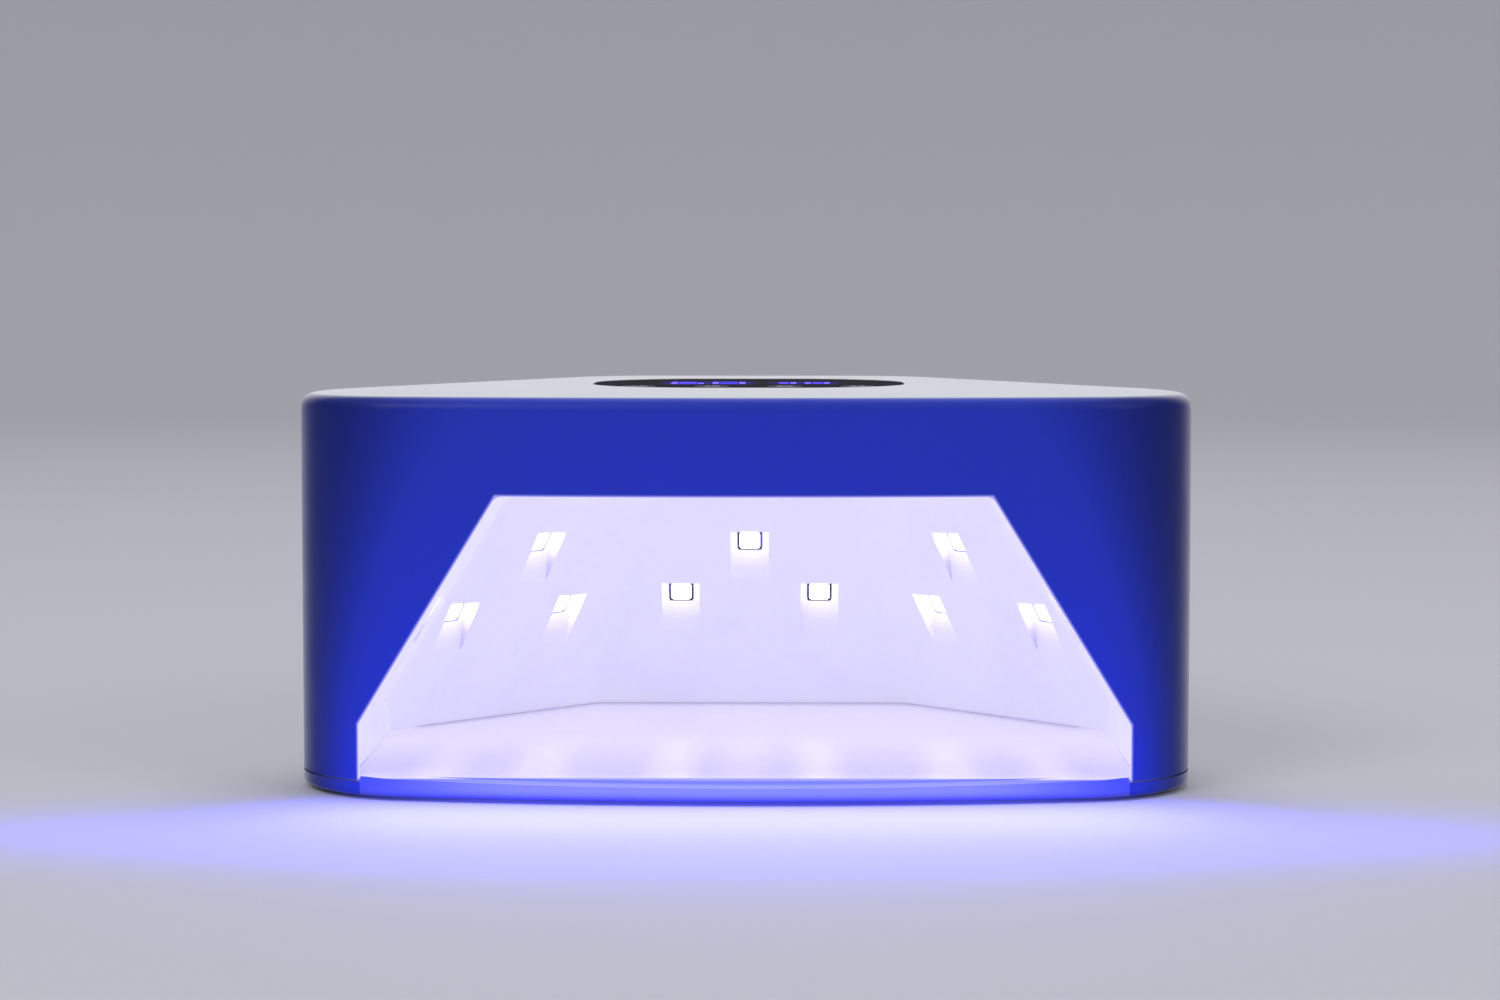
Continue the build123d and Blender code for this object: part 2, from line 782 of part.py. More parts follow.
def board_screw_set(plane, places, length):
    # Screws whose heads seat on the plane, with shanks running back along its normal.
    with BuildPart() as screw_set:
        with BuildSketch(plane):
            with Locations(*places):
                Circle(board_head_radius)
        extrude(amount=board_head_thickness)
        with BuildSketch(plane):
            with Locations(*places):
                Circle(board_screw_radius)
        extrude(amount=-length)
        with BuildSketch(plane.offset(board_head_thickness)):
            with Locations(*places):
                Rectangle(board_slot[0], board_slot[1])
                Rectangle(board_slot[1], board_slot[0])
        extrude(amount=-board_slot_depth, mode=Mode.SUBTRACT)
    return screw_set.part


with BuildPart() as led_board_screws:
    for frame, leds, screws in lit_walls.values():
        face = frame.offset(boss_top + led_board_thickness)
        add(board_screw_set(face, screws, led_screw_length))
    face = Plane.XY.offset(ceiling_top + led_board_thickness)
    add(board_screw_set(face, ceiling_screws, ceiling_screw_length))
save(led_board_screws.part, "led_board_screws")

# The control board, below the panel, and what stands on it
with BuildPart() as control_board:
    with BuildSketch(Plane.XY.offset(control_board_z)):
        with Locations((0, control_board_y)):
            RectangleRounded(*control_board_size, control_board_corner)
        with Locations(*board_posts):
            Circle(board_screw_radius + fit, mode=Mode.SUBTRACT)
    extrude(amount=board_thickness)
save(control_board.part, "control_board")

board_below = Plane(origin=(0, 0, control_board_z), x_dir=(1, 0, 0), z_dir=(0, 0, -1))
places_below = [(x, -y) for x, y in board_posts]
control_board_screws = board_screw_set(board_below, places_below, board_screw_length)
save(control_board_screws, "control_board_screws")

with BuildPart() as tact_switches:
    with BuildSketch(Plane.XY.offset(control_top)):
        with Locations(*button_places):
            RectangleRounded(switch_size, switch_size, switch_corner)
    extrude(amount=switch_height)
    with BuildSketch(Plane.XY.offset(switch_top)):
        with Locations(*button_places):
            Circle(plunger_radius + button_clearance)
    extrude(amount=-switch_bore_depth, mode=Mode.SUBTRACT)
save(tact_switches.part, "tact_switches")

for seconds, place in zip(button_times, button_places):
    with BuildPart() as button:
        with BuildSketch(Plane.XY.offset(button_flange_top)):
            with Locations(place):
                Circle(button_radius)
        extrude(amount=height - button_sink - button_flange_top)
        fillet(button.faces().sort_by(Axis.Z)[-1].edges(), button_crown)
        with BuildSketch(Plane.XY.offset(button_flange_top)):
            with Locations(place):
                Circle(button_radius + button_flange)
        extrude(amount=-button_flange_thickness)
        with BuildSketch(Plane.XY.offset(stem_bottom)):
            with Locations(place):
                Circle(stem_radius)
        extrude(amount=stem_length)
    save(button.part, f"timer_button_{seconds}")
    with BuildPart() as plunger:
        with BuildSketch(Plane.XY.offset(stem_bottom)):
            with Locations(place):
                Circle(plunger_radius)
        extrude(amount=switch_top - plunger_sink - stem_bottom)
    save(plunger.part, f"switch_plunger_{seconds}")

with BuildPart() as display_module:
    with BuildSketch(Plane.XY.offset(control_top)):
        with Locations((0, display_y)):
            RectangleRounded(*display_size, display_corner)
    extrude(amount=button_flange_top - control_top)
save(display_module.part, "display_module")

# Seven-segment digits: which of top, upper right, lower right, bottom, lower left,
# upper left and middle are lit
lit_segments = {"0": "1111110", "3": "1111001", "6": "1011111"}


def digit_places(text, middle_x, size):
    # Middles and sizes of the lit segments of a row of digits.
    digit_width, digit_height = size
    places = []
    for order, digit in enumerate(text):
        x = middle_x + (order - (len(text) - 1) / 2) * (digit_width + digit_gap)
        side = (digit_width - segment_width) / 2
        rise = (digit_height - segment_width) / 2
        flat = (digit_width - 2 * segment_width - 2 * segment_gap, segment_width)
        tall = (segment_width, digit_height / 2 - segment_gap)
        spots = [
            (0, rise, flat),
            (side, digit_height / 4, tall),
            (side, -digit_height / 4, tall),
            (0, -rise, flat),
            (-side, -digit_height / 4, tall),
            (-side, digit_height / 4, tall),
            (0, 0, flat),
        ]
        for lit, (dx, dy, spot) in zip(lit_segments[digit], spots):
            if lit == "1":
                places.append((x + dx, display_y + dy, spot))
    return places


segments = digit_places("60", large_digits_x, digit_size)
segments += digit_places("30", small_digits_x, small_digit_size)
with BuildPart() as display_segments:
    with BuildSketch(Plane.XY.offset(button_flange_top)):
        for x, y, spot in segments:
            with Locations((x, y)):
                Rectangle(*spot)
    extrude(amount=panel_bottom + panel_thickness - button_flange_top)
save(display_segments.part, "display_segments")

with BuildPart() as control_panel:
    with BuildSketch(Plane.XY.offset(panel_bottom)):
        with Locations((0, panel_y)):
            RectangleRounded(
                panel_size[0] - 2 * panel_clearance,
                panel_size[1] - 2 * panel_clearance,
                panel_corner_radius - panel_clearance,
            )
        with Locations(*button_places):
            Circle(button_radius + button_clearance, mode=Mode.SUBTRACT)
        for x, y, spot in segments:
            with Locations((x, y)):
                Rectangle(spot[0] + fit, spot[1] + fit, mode=Mode.SUBTRACT)
    extrude(amount=panel_thickness)
save(control_panel.part, "control_panel")

with BuildPart() as control_chip:
    with BuildSketch(Plane.XY.offset(control_top)):
        with Locations(place_on(control_board_y, chip_offset)):
            Rectangle(chip_size[0], chip_size[1])
    extrude(amount=chip_size[2])
save(control_chip.part, "control_chip")

with BuildPart() as buzzer:
    with BuildSketch(Plane.XY.offset(control_top)):
        with Locations(place_on(control_board_y, buzzer_offset)):
            Circle(buzzer_radius)
    extrude(amount=buzzer_height)
    with BuildSketch(Plane.XY.offset(control_top + buzzer_height)):
        with Locations(place_on(control_board_y, buzzer_offset)):
            Circle(buzzer_hole_radius)
    extrude(amount=-buzzer_hole_depth, mode=Mode.SUBTRACT)
save(buzzer.part, "buzzer")

# The power board, behind the chamber, and what stands on it
with BuildPart() as power_board:
    with BuildSketch(Plane.XY.offset(power_board_z)):
        with Locations((0, power_board_y)):
            RectangleRounded(*power_board_size, power_board_corner)
        with Locations(*power_posts):
            Circle(board_screw_radius + fit, mode=Mode.SUBTRACT)
    extrude(amount=board_thickness)
save(power_board.part, "power_board")

power_board_screws = board_screw_set(Plane.XY.offset(power_top), power_posts, board_screw_length)
save(power_board_screws, "power_board_screws")

jack_face = Plane(origin=(0, jack_nose_end, jack_z), x_dir=(-1, 0, 0), z_dir=(0, 1, 0))
with BuildPart() as dc_jack:
    with BuildSketch(Plane.XY.offset(power_top)):
        with Locations((0, jack_front - jack_size[1] / 2)):
            Rectangle(jack_size[0], jack_size[1])
    extrude(amount=jack_size[2])
    with BuildSketch(jack_face):
        Circle(jack_nose_radius)
    extrude(amount=-(jack_nose_end - jack_front))
    with BuildSketch(jack_face):
        Circle(jack_bore_radius)
    extrude(amount=-jack_bore_depth, mode=Mode.SUBTRACT)
save(dc_jack.part, "dc_jack")

with BuildPart() as dc_centre_pin:
    with BuildSketch(jack_face.offset(-jack_bore_depth)):
        Circle(jack_pin_radius)
    extrude(amount=jack_bore_depth - jack_pin_setback)
    fillet(dc_centre_pin.faces().sort_by(Axis.Y)[-1].edges(), jack_pin_round)
save(dc_centre_pin.part, "dc_centre_pin")

with BuildPart() as capacitors:
    with BuildSketch(Plane.XY.offset(power_top)):
        with Locations(*mirrored(place_on(power_board_y, capacitor_offset))):
            Circle(capacitor_radius)
    extrude(amount=capacitor_height)
    fillet(capacitors.faces().sort_by(Axis.Z)[-2:].edges(), capacitor_round)
save(capacitors.part, "capacitors")

with BuildPart() as power_inductor:
    with BuildSketch(Plane.XY.offset(power_top)):
        with Locations(place_on(power_board_y, inductor_offset)):
            RectangleRounded(inductor_size[0], inductor_size[1], inductor_corner)
    extrude(amount=inductor_size[2])
save(power_inductor.part, "power_inductor")

with BuildPart() as driver_chips:
    with BuildSketch(Plane.XY.offset(power_top)):
        with Locations(*[(x, power_board_y + driver_shift) for x in driver_xs]):
            Rectangle(driver_size[0], driver_size[1])
    extrude(amount=driver_size[2])
save(driver_chips.part, "driver_chips")

# The ribbon cable climbs behind the chamber from the power board to the control board.
low_socket_y = power_board_y + low_socket_shift
high_socket_y = control_board_y + high_socket_shift
low_socket_top = power_top + socket_size[2]
high_socket_end = control_board_z - socket_size[2]
with BuildPart() as ribbon_sockets:
    with BuildSketch(Plane.XY.offset(power_top)):
        with Locations((socket_x, low_socket_y)):
            Rectangle(socket_size[0], socket_size[1])
    extrude(amount=socket_size[2])
    with BuildSketch(Plane.XY.offset(control_board_z)):
        with Locations((socket_x, high_socket_y)):
            Rectangle(socket_size[0], socket_size[1])
    extrude(amount=-socket_size[2])
save(ribbon_sockets.part, "ribbon_sockets")

with BuildPart() as ribbon_cable:
    with BuildSketch(Plane.YZ.offset(socket_x - ribbon_width / 2)):
        with BuildLine():
            FilletPolyline(
                (low_socket_y, low_socket_top),
                (low_socket_y, low_socket_top + ribbon_rise),
                (high_socket_y, high_socket_end - ribbon_rise),
                (high_socket_y, high_socket_end),
                radius=ribbon_bend,
            )
        trace(line_width=ribbon_thickness)
    extrude(amount=ribbon_width)
save(ribbon_cable.part, "ribbon_cable")
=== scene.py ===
from math import cos, pi, radians, tan

import bmesh
import bpy
from mathutils import Matrix, Vector


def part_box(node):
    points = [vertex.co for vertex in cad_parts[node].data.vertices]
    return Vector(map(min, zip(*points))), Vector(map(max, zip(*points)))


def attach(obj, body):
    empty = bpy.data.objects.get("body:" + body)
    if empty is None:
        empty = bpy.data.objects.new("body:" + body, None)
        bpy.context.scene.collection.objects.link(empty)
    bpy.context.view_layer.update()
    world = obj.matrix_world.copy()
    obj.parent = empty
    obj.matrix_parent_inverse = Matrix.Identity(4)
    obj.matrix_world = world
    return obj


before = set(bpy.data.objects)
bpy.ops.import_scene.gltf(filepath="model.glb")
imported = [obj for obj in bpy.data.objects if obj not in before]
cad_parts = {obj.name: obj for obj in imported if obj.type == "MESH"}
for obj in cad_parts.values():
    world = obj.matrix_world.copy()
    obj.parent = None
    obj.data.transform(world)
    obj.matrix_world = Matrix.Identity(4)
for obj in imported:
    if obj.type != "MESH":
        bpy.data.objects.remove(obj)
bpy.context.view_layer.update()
print("frame loaded with", len(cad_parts), "nodes")


def rgb(red, green, blue):
    # a colour written as on screen, from 0 to 255
    shares = [value / 255 for value in (red, green, blue)]
    linear = [share / 12.92 if share < 0.04045 else ((share + 0.055) / 1.055) ** 2.4 for share in shares]
    return (*linear, 1.0)


class Wire:
    # one socket of a material, so that a sum on it adds its Math node

    def __init__(self, paint, socket):
        self.paint = paint
        self.socket = socket

    def math(self, operation, *values):
        return self.paint.node("Math", {"operation": operation}, values)

    def __add__(self, other):
        return self.math("ADD", self, other)

    def __sub__(self, other):
        return self.math("SUBTRACT", self, other)

    def __rsub__(self, other):
        return self.math("SUBTRACT", other, self)

    def __mul__(self, other):
        return self.math("MULTIPLY", self, other)

    def __pow__(self, other):
        return self.math("POWER", self, other)

    def __gt__(self, other):
        return self.math("GREATER_THAN", self, other)

    def __lt__(self, other):
        return self.math("LESS_THAN", self, other)

    def __abs__(self):
        return self.math("ABSOLUTE", self)

    __radd__ = __add__
    __rmul__ = __mul__


class Paint:
    # a material and its Principled shader

    def __init__(self, name):
        self.material = bpy.data.materials.new(name)
        self.material.use_nodes = True
        self.tree = self.material.node_tree
        self.shader = self.tree.nodes["Principled BSDF"]
        self.place = self.node("TexCoord", output="Object")
        self.normal = self.node("NewGeometry", output="Normal")
        self.x, self.y, self.z = self.split(self.place)
        self.across, self.along, self.up = self.split(self.normal)

    def node(self, kind, settings=None, values=(), output=0):
        made = self.tree.nodes.new("ShaderNode" + kind)
        for name, value in (settings or {}).items():
            setattr(made, name, value)
        for key, value in values.items() if isinstance(values, dict) else enumerate(values):
            if isinstance(value, Wire):
                self.tree.links.new(value.socket, made.inputs[key])
            else:
                made.inputs[key].default_value = value
        return Wire(self, made.outputs[output])

    def split(self, vector):
        first = self.node("SeparateXYZ", {}, [vector])
        return [Wire(self, socket) for socket in first.socket.node.outputs]

    def wear(self, sockets):
        # values or wires for the shader's own sockets
        for name, value in sockets.items():
            if isinstance(value, Wire):
                self.tree.links.new(value.socket, self.shader.inputs[name])
            else:
                self.shader.inputs[name].default_value = value
        return self.material

    def mix(self, mask, first, second, kind="MIX"):
        settings = {"data_type": "RGBA", "blend_type": kind}
        return self.node("Mix", settings, {0: mask, 6: first, 7: second}, 2)

    def fade(self, value, low, high):
        # 0 at low and 1 at high, smooth between
        return self.node("MapRange", {"interpolation_type": "SMOOTHSTEP"}, [value, low, high])

    def noise(self, scale, detail=3.0, rough=0.5, stretch=(1, 1, 1)):
        place = self.node("Mapping", {}, {0: self.place, 3: stretch})
        values = {"Vector": place, "Scale": scale, "Detail": detail, "Roughness": rough}
        return self.node("TexNoise", {}, values)

    def bump(self, height, distance, under=None):
        values = {"Height": height, "Distance": distance, "Strength": 1.0}
        if under is not None:
            values["Normal"] = under
        return self.node("Bump", {}, values)

    def larger(self, first, second):
        return self.node("Math", {"operation": "MAXIMUM"}, [first, second])

    def sine(self, angle):
        return self.node("Math", {"operation": "SINE"}, [angle])

    def fraction(self, value):
        return self.node("Math", {"operation": "FRACT"}, [value])

    def dot(self, first, second):
        return self.node("VectorMath", {"operation": "DOT_PRODUCT"}, [first, second], "Value")

    def nearest(self, centres):
        # distance to the nearest of these points
        found = None
        for centre in centres:
            away = self.node("VectorMath", {"operation": "DISTANCE"}, [self.place, centre], "Value")
            found = away if found is None else found.math("MINIMUM", found, away)
        return found

    def towards(self, centre):
        # above 0 where a face looks towards this point
        way = self.node("VectorMath", {"operation": "SUBTRACT"}, [centre, self.place])
        return self.dot(way, self.normal)


def either(first, second):
    # 1 where one of two masks is
    return 1 - (1 - first) * (1 - second)


def islands(node):
    # lowest and highest corner of each separate solid of a CAD node
    work = bmesh.new()
    work.from_mesh(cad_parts[node].data)
    bmesh.ops.remove_doubles(work, verts=work.verts, dist=1e-6)
    left = set(work.verts)
    found = []
    while left:
        group = [left.pop()]
        for vert in group:
            for edge in vert.link_edges:
                other = edge.other_vert(vert)
                if other in left:
                    left.remove(other)
                    group.append(other)
        corners = [[pick(vert.co[axis] for vert in group) for axis in range(3)] for pick in (min, max)]
        found.append([Vector(corner) for corner in corners])
    work.free()
    return found


def middles(node):
    return [(low + high) / 2 for low, high in islands(node)]


def finish(material, *nodes):
    # puts a material on CAD nodes
    for node in nodes:
        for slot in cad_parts[node].material_slots:
            slot.material = material


dark = (0, 0, 0, 1)

# painted light, as emission on the liner and base: the walls' glow, the brighter light beside the LEDs, and
# violet light in the seam round the floor
chamber = {
    "heart": (0, -0.020, 0.030),
    "heartReach": 0.004,
    "glow": rgb(136, 137, 126),
    "nearLight": rgb(150, 150, 126),
    "seam": rgb(74, 64, 132),
    "paleSeamLight": rgb(158, 152, 190),
    "seamSides": (0.0760, 0.0785),  # where the seam runs along the side walls
}
wallLedNodes = ["back_leds", "left_leds", "right_leds", "left_side_leds", "right_side_leds"]
wallBoards = [node.replace("_leds", "_led_board") for node in wallLedNodes]


def lensPlane(node):
    # the way that LEDs look into the chamber, as their broadest faces do, and how far out their lenses lie
    areas = {}
    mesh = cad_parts[node].data
    for face in mesh.polygons:
        way = tuple(round(part, 2) for part in face.normal)
        areas[way] = areas.get(way, 0) + face.area
    inward = Vector(chamber["heart"]) - middles(node)[0]
    broadest = max((way for way in areas if inward.dot(way) > 0), key=areas.get)
    way = Vector(broadest).normalized()
    return way, max(vert.co.dot(way) for vert in mesh.vertices)


opening = {"halfWidth": 0.0813, "top": 0.0644, "lean": 31.5, "slantFoot": 0.0911}

# a pair of numbers gives where a mask is 0 and where it is 1: a height, a place along y, or how a face looks
shell = {
    "white": rgb(228, 229, 234),
    "shade": rgb(221, 222, 228),
    "scuff": rgb(160, 158, 162),
    "scuffHeights": (0.010, 0.004),
    # painted light: the front's blue is the lamp's violet-blue light painted onto the white plastic, deeper
    # blue at its ends as painted shade where that light runs out, and blueLight a faint painted glow
    "blue": rgb(38, 56, 172),
    "paintedBlueShade": rgb(14, 25, 96),
    "blueLight": rgb(3, 5, 26),
    "glowFacing": (-0.05, 0.60),  # from where a face looks a little backwards to where it looks forwards
    "glowDepths": (-0.034, -0.046),
    "endsFloor": (0.0835, 0.0955),  # the glow's ends at the table
    "endsRise": (4.35, 0.35),  # how much further in they are higher up, for the square of the height
    "endShare": 0.94,
    "cloudShare": 0.06,
    # painted light, as emission: on the opening's cut edge, and bled onto the front round the opening
    "edgeLight": rgb(120, 112, 190),
    "edgeFacing": (0.6, 0.3),
    "edgeFront": -0.062,
    "edgeHalfWidth": 0.0816,
    "edgeTop": 0.066,
    "bleedLight": rgb(162, 156, 186),
    "bleedReach": 0.0009,
    "roughness": 0.36,
    "grainSize": 0.0006,
    "grainDepth": 0.000012,
    "waveDepth": 0.00004,
}


def frontGlow(paint):
    # where the lamp's own light tints the white plastic: on what looks to the front
    rest = 1 - paint.fade(paint.along * -1, *shell["glowFacing"])
    return (1 - rest ** 1.5) * paint.fade(paint.y, *shell["glowDepths"])


def frontEnds(paint):
    # 1 at the ends of the front, where that light runs out, further in at the top
    rise = paint.z * paint.z
    start, stop = [floor - rise * share for floor, share in zip(shell["endsFloor"], shell["endsRise"])]
    return paint.fade(abs(paint.x), start, stop)


def openingAway(paint):
    # how far a point of the front lies outside the opening's outline
    lean = radians(opening["lean"])
    slant = (abs(paint.x) + paint.z * tan(lean) - opening["slantFoot"]) * cos(lean)
    away = paint.larger(slant, paint.z - opening["top"])
    return paint.larger(away, abs(paint.x) - opening["halfWidth"])


def plasticSurface(paint, look):
    # fine moulded grain over a slow waviness, and a roughness that handling has changed
    grain = paint.noise(1 / look["grainSize"], 2.0)
    wave = paint.noise(18, 1.0)
    rubbed = paint.fade(paint.noise(55, 4.0, 0.65), 0.42, 0.72)
    normal = paint.bump(grain, look["grainDepth"], paint.bump(wave, look["waveDepth"]))
    return normal, rubbed


def shellPlastic():
    paint = Paint("shellPlastic")
    normal, rubbed = plasticSurface(paint, shell)
    glow = frontGlow(paint)
    ends = frontEnds(paint)
    cloud = paint.fade(paint.noise(9, 2.0), 0.3, 0.7)
    plain = paint.mix(rubbed * 0.4, shell["white"], shell["shade"])
    scuffs = paint.fade(paint.noise(900, 5.0, 0.7, (1, 1, 0.6)), 0.60, 0.74)
    scuffs = scuffs * paint.fade(paint.z, *shell["scuffHeights"])
    plain = paint.mix(scuffs * 0.25, plain, shell["scuff"])
    # painted light on the front's colour: blue where the lamp's light falls, deep blue as painted shade at
    # the ends and in soft clouds
    deep = ends * shell["endShare"] + cloud * shell["cloudShare"]
    colour = paint.mix(glow, plain, paint.mix(deep, shell["blue"], shell["paintedBlueShade"]))
    # the cut edge of the opening catches the light of the chamber
    edge = paint.fade(abs(paint.along), *shell["edgeFacing"]) * (paint.y < shell["edgeFront"])
    edge = edge * (abs(paint.x) < shell["edgeHalfWidth"]) * (paint.z < shell["edgeTop"])
    # painted light, as emission: faint blue over the front, paler round the opening, and on its cut edge
    bleedLight = paint.fade(openingAway(paint), shell["bleedReach"], 0.0) ** 3.0
    light = paint.mix(glow, dark, paint.mix(bleedLight, shell["blueLight"], shell["bleedLight"]))
    light = paint.mix(edge, light, shell["edgeLight"])
    return paint.wear({
        "Base Color": colour,
        "Roughness": rubbed * 0.10 + scuffs * 0.15 + shell["roughness"],
        "Normal": normal,
        "Emission Color": light,
        "Emission Strength": 1.0,
        "Specular IOR Level": 0.12,
    })


liner = {
    # both tones are white plastic with a lavender tint painted in for the LEDs' violet light
    "white": rgb(222, 219, 246),
    "shade": rgb(210, 206, 240),
    "footHeights": (0.0057, 0.0050),
    "pocketStart": 0.0027,  # how far a pocket's surface lies behind the LEDs' lenses at least
    "pocketReach": (0.0082, 0.0030),
    "rampFacing": (0.75, 0.85),
    "wallFacing": (0.985, 0.95),
    "rampLoss": 0.45,
    "roughness": 0.42,
    "grainSize": 0.0008,
    "grainDepth": 0.00001,
    "waveDepth": 0.00005,
}


def pocketLight(paint):
    # 1 beside the LEDs and 0 where their pockets run out, weaker on the pockets' ramps
    shares = []
    for node in wallLedNodes:
        way, front = lensPlane(node)
        sunk = paint.dot(paint.place, way) < front + liner["pocketStart"]
        looking = paint.dot(paint.normal, way)
        ramp = paint.fade(looking, *liner["rampFacing"]) * paint.fade(looking, *liner["wallFacing"])
        near = paint.fade(paint.nearest(middles(node)), *liner["pocketReach"]) * sunk
        shares.append(near * (1 - ramp * liner["rampLoss"]))
    return sum(shares)


def seamLight(paint):
    # painted violet light in the seam round the floor, as pale as the walls' painted glow where it runs along
    # their sides
    return paint.mix(paint.fade(abs(paint.x), *chamber["seamSides"]), chamber["seam"], chamber["paleSeamLight"])


def linerPlastic():
    paint = Paint("linerPlastic")
    normal, rubbed = plasticSurface(paint, liner)
    # painted light, as emission: the walls glow where they face the chamber, brighter beside the LEDs, and
    # violet in the seam at their foot
    inner = paint.fade(paint.towards(chamber["heart"]), 0.0, chamber["heartReach"])
    near = pocketLight(paint)
    foot = paint.fade(paint.z, *liner["footHeights"])
    light = paint.mix(near, chamber["glow"], chamber["nearLight"], "ADD")
    light = paint.mix(either(inner, near), dark, light)
    light = paint.mix(foot, light, seamLight(paint))
    white = paint.mix(rubbed * 0.5, liner["white"], liner["shade"])
    return paint.wear({
        # painted shade: the foot of the walls at the front takes the deep blue of the shell's ends
        "Base Color": paint.mix(foot * frontGlow(paint), white, shell["paintedBlueShade"]),
        "Roughness": rubbed * 0.12 + liner["roughness"],
        "Normal": normal,
        "Emission Color": light,
        "Emission Strength": 1.0,
    })


base = {
    # the floor's lavender tint is painted light of the violet LEDs on white plastic; floorLight, frontLight
    # and the pools are painted light on it
    "floor": rgb(216, 208, 244),
    "floorBottom": 0.0046,
    "floorFacing": (0.5, 0.8),
    "floorLight": rgb(129, 129, 92),
    "frontLight": rgb(40, 38, 40),
    "frontDepths": (-0.064, -0.012),
    "poolLight": rgb(102, 101, 88),
    "poolDepths": (0.015, -0.039),
    "poolLag": 0.35,
    "poolReach": 0.0085,
    "poolShift": 0.95,
    "highPool": 0.45,
    "highLed": 0.042,
    # the lip's periwinkle is painted light of the chamber on white plastic, darker blue as painted shade at
    # its ends and bottom, with lipLight painted light on it
    "lip": rgb(122, 128, 226),
    "lipEndShade": rgb(78, 90, 200),
    "lipBottomShade": rgb(94, 100, 180),
    "lipLight": rgb(80, 83, 112),
    "lipDepths": (-0.0706, -0.0720),
    "lipHalfWidth": 0.0810,
    "lipEnds": (0.045, 0.084),
    "bottomShadeHeights": (0.0032, 0.0008),
    "bowFacing": (0.3, 0.6),
    "bowFront": -0.060,
    "rimTop": 0.0039,
    "rimBottom": 0.0036,
    "rimDepths": (-0.042, -0.052),
    "tableLight": rgb(96, 100, 255),
    "underFacing": (-0.9, -1.0),
    "underDepths": (-0.058, -0.074),
    "underTop": 0.0012,
    "stepFacing": (0.5, 0.2),
    "roughness": 0.20,
    "grainSize": 0.0009,
    "grainDepth": 0.000003,
    "waveDepth": 0.000006,
}


def floorPools(paint):
    # soft streaks of light on the chamber's floor in front of the LEDs, weaker in front of the high ones
    pools = []
    for middle in middles("back_leds") + middles("left_leds") + middles("right_leds"):
        share = base["highPool"] if middle.z > base["highLed"] else 1.0
        away = abs(paint.x - middle.x * base["poolShift"])
        pools.append(paint.fade(away, base["poolReach"], 0.0) * share)
    depth = paint.y + abs(paint.x) * base["poolLag"]
    return sum(pools) * paint.fade(depth, *base["poolDepths"])


def basePlastic():
    paint = Paint("basePlastic")
    normal, rubbed = plasticSurface(paint, base)
    # the lip: what slopes in front of the floor, and the bowed front below it
    slope = paint.fade(paint.y, *base["lipDepths"])
    upright = paint.fade(paint.along * -1, *base["bowFacing"]) * (paint.y < base["bowFront"])
    front = either(slope, upright)
    lipMask = front * (abs(paint.x) < base["lipHalfWidth"])
    floorMask = (paint.z > base["floorBottom"]) * (1 - front) * paint.fade(paint.up, *base["floorFacing"])
    ends = paint.fade(abs(paint.x), *base["lipEnds"])
    # mask of the painted shade towards the lip's bottom
    seam = paint.fade(paint.z, *base["bottomShadeHeights"])
    # the rim round them, which takes the shell's painted blue light at the front but not on top of its
    # corners
    raised = paint.z > base["rimTop"]
    corner = raised * (abs(paint.x) > base["lipHalfWidth"])
    rim = (paint.z > base["rimBottom"]) * (paint.z < base["rimTop"]) * paint.fade(paint.y, *base["rimDepths"])
    glow = either(frontGlow(paint) * (1 - corner), rim)
    plain = paint.mix(rubbed * 0.5, shell["white"], shell["shade"])
    # painted light: the front takes the shell's blue, the lip its periwinkle, shaded darker at its ends and
    # bottom, and the floor its lavender tint
    colour = paint.mix(glow, plain, paint.mix(frontEnds(paint), shell["blue"], shell["paintedBlueShade"]))
    lip = paint.mix(seam, paint.mix(ends, base["lip"], base["lipEndShade"]), base["lipBottomShade"])
    colour = paint.mix(lipMask, colour, lip)
    colour = paint.mix(floorMask, colour, base["floor"])
    # painted light, as emission: faint blue on the front and brighter on the lip
    light = paint.mix(glow, dark, shell["blueLight"])
    light = paint.mix(lipMask * (1 - ends) * (1 - seam), light, base["lipLight"])
    # the underside's front edge takes back some light from the table
    under = paint.fade(paint.up, *base["underFacing"]) * paint.fade(paint.y, *base["underDepths"])
    under = under * (paint.z < base["underTop"])
    light = paint.mix(under * (1 - ends * 0.5), light, base["tableLight"])
    # the step's faces glow with the seam's painted violet light
    step = raised * paint.fade(abs(paint.up), *base["stepFacing"]) * (1 - front * (1 - corner))
    light = paint.mix(step, light, seamLight(paint))
    # painted light on the floor: dimmer towards the front, with pools in front of the LEDs
    deep = paint.fade(paint.y, *base["frontDepths"])
    floorLight = paint.mix(deep, base["frontLight"], base["floorLight"])
    floorLight = paint.mix(floorPools(paint), floorLight, base["poolLight"], "ADD")
    light = paint.mix(floorMask, light, floorLight)
    scratches = paint.fade(paint.noise(300, 4.0, 0.7, (0.12, 1, 1)), 0.66, 0.74)
    return paint.wear({
        "Base Color": colour,
        "Roughness": rubbed * 0.03 + scratches * 0.05 + lipMask * 0.25 + base["roughness"],
        "Normal": normal,
        "Emission Color": light,
        "Emission Strength": 1.0,
        "Specular IOR Level": 0.18,
        "Coat Weight": floorMask * 0.45,
        "Coat Roughness": 0.16,
    })


leds = {
    "light": rgb(192, 184, 238),
    "die": rgb(214, 208, 246),
    "dieReach": (0.0012, 0.0005),
    "lens": rgb(236, 232, 250),
    # painted shade on the back wall's LEDs; the pale tone below is painted light on the others, on the same
    # part
    "ceramic": rgb(22, 15, 58),
    "litCeramic": rgb(150, 142, 204),
    "lensHeights": (0.0001, 0.00008),
    "strength": 10.0,
}


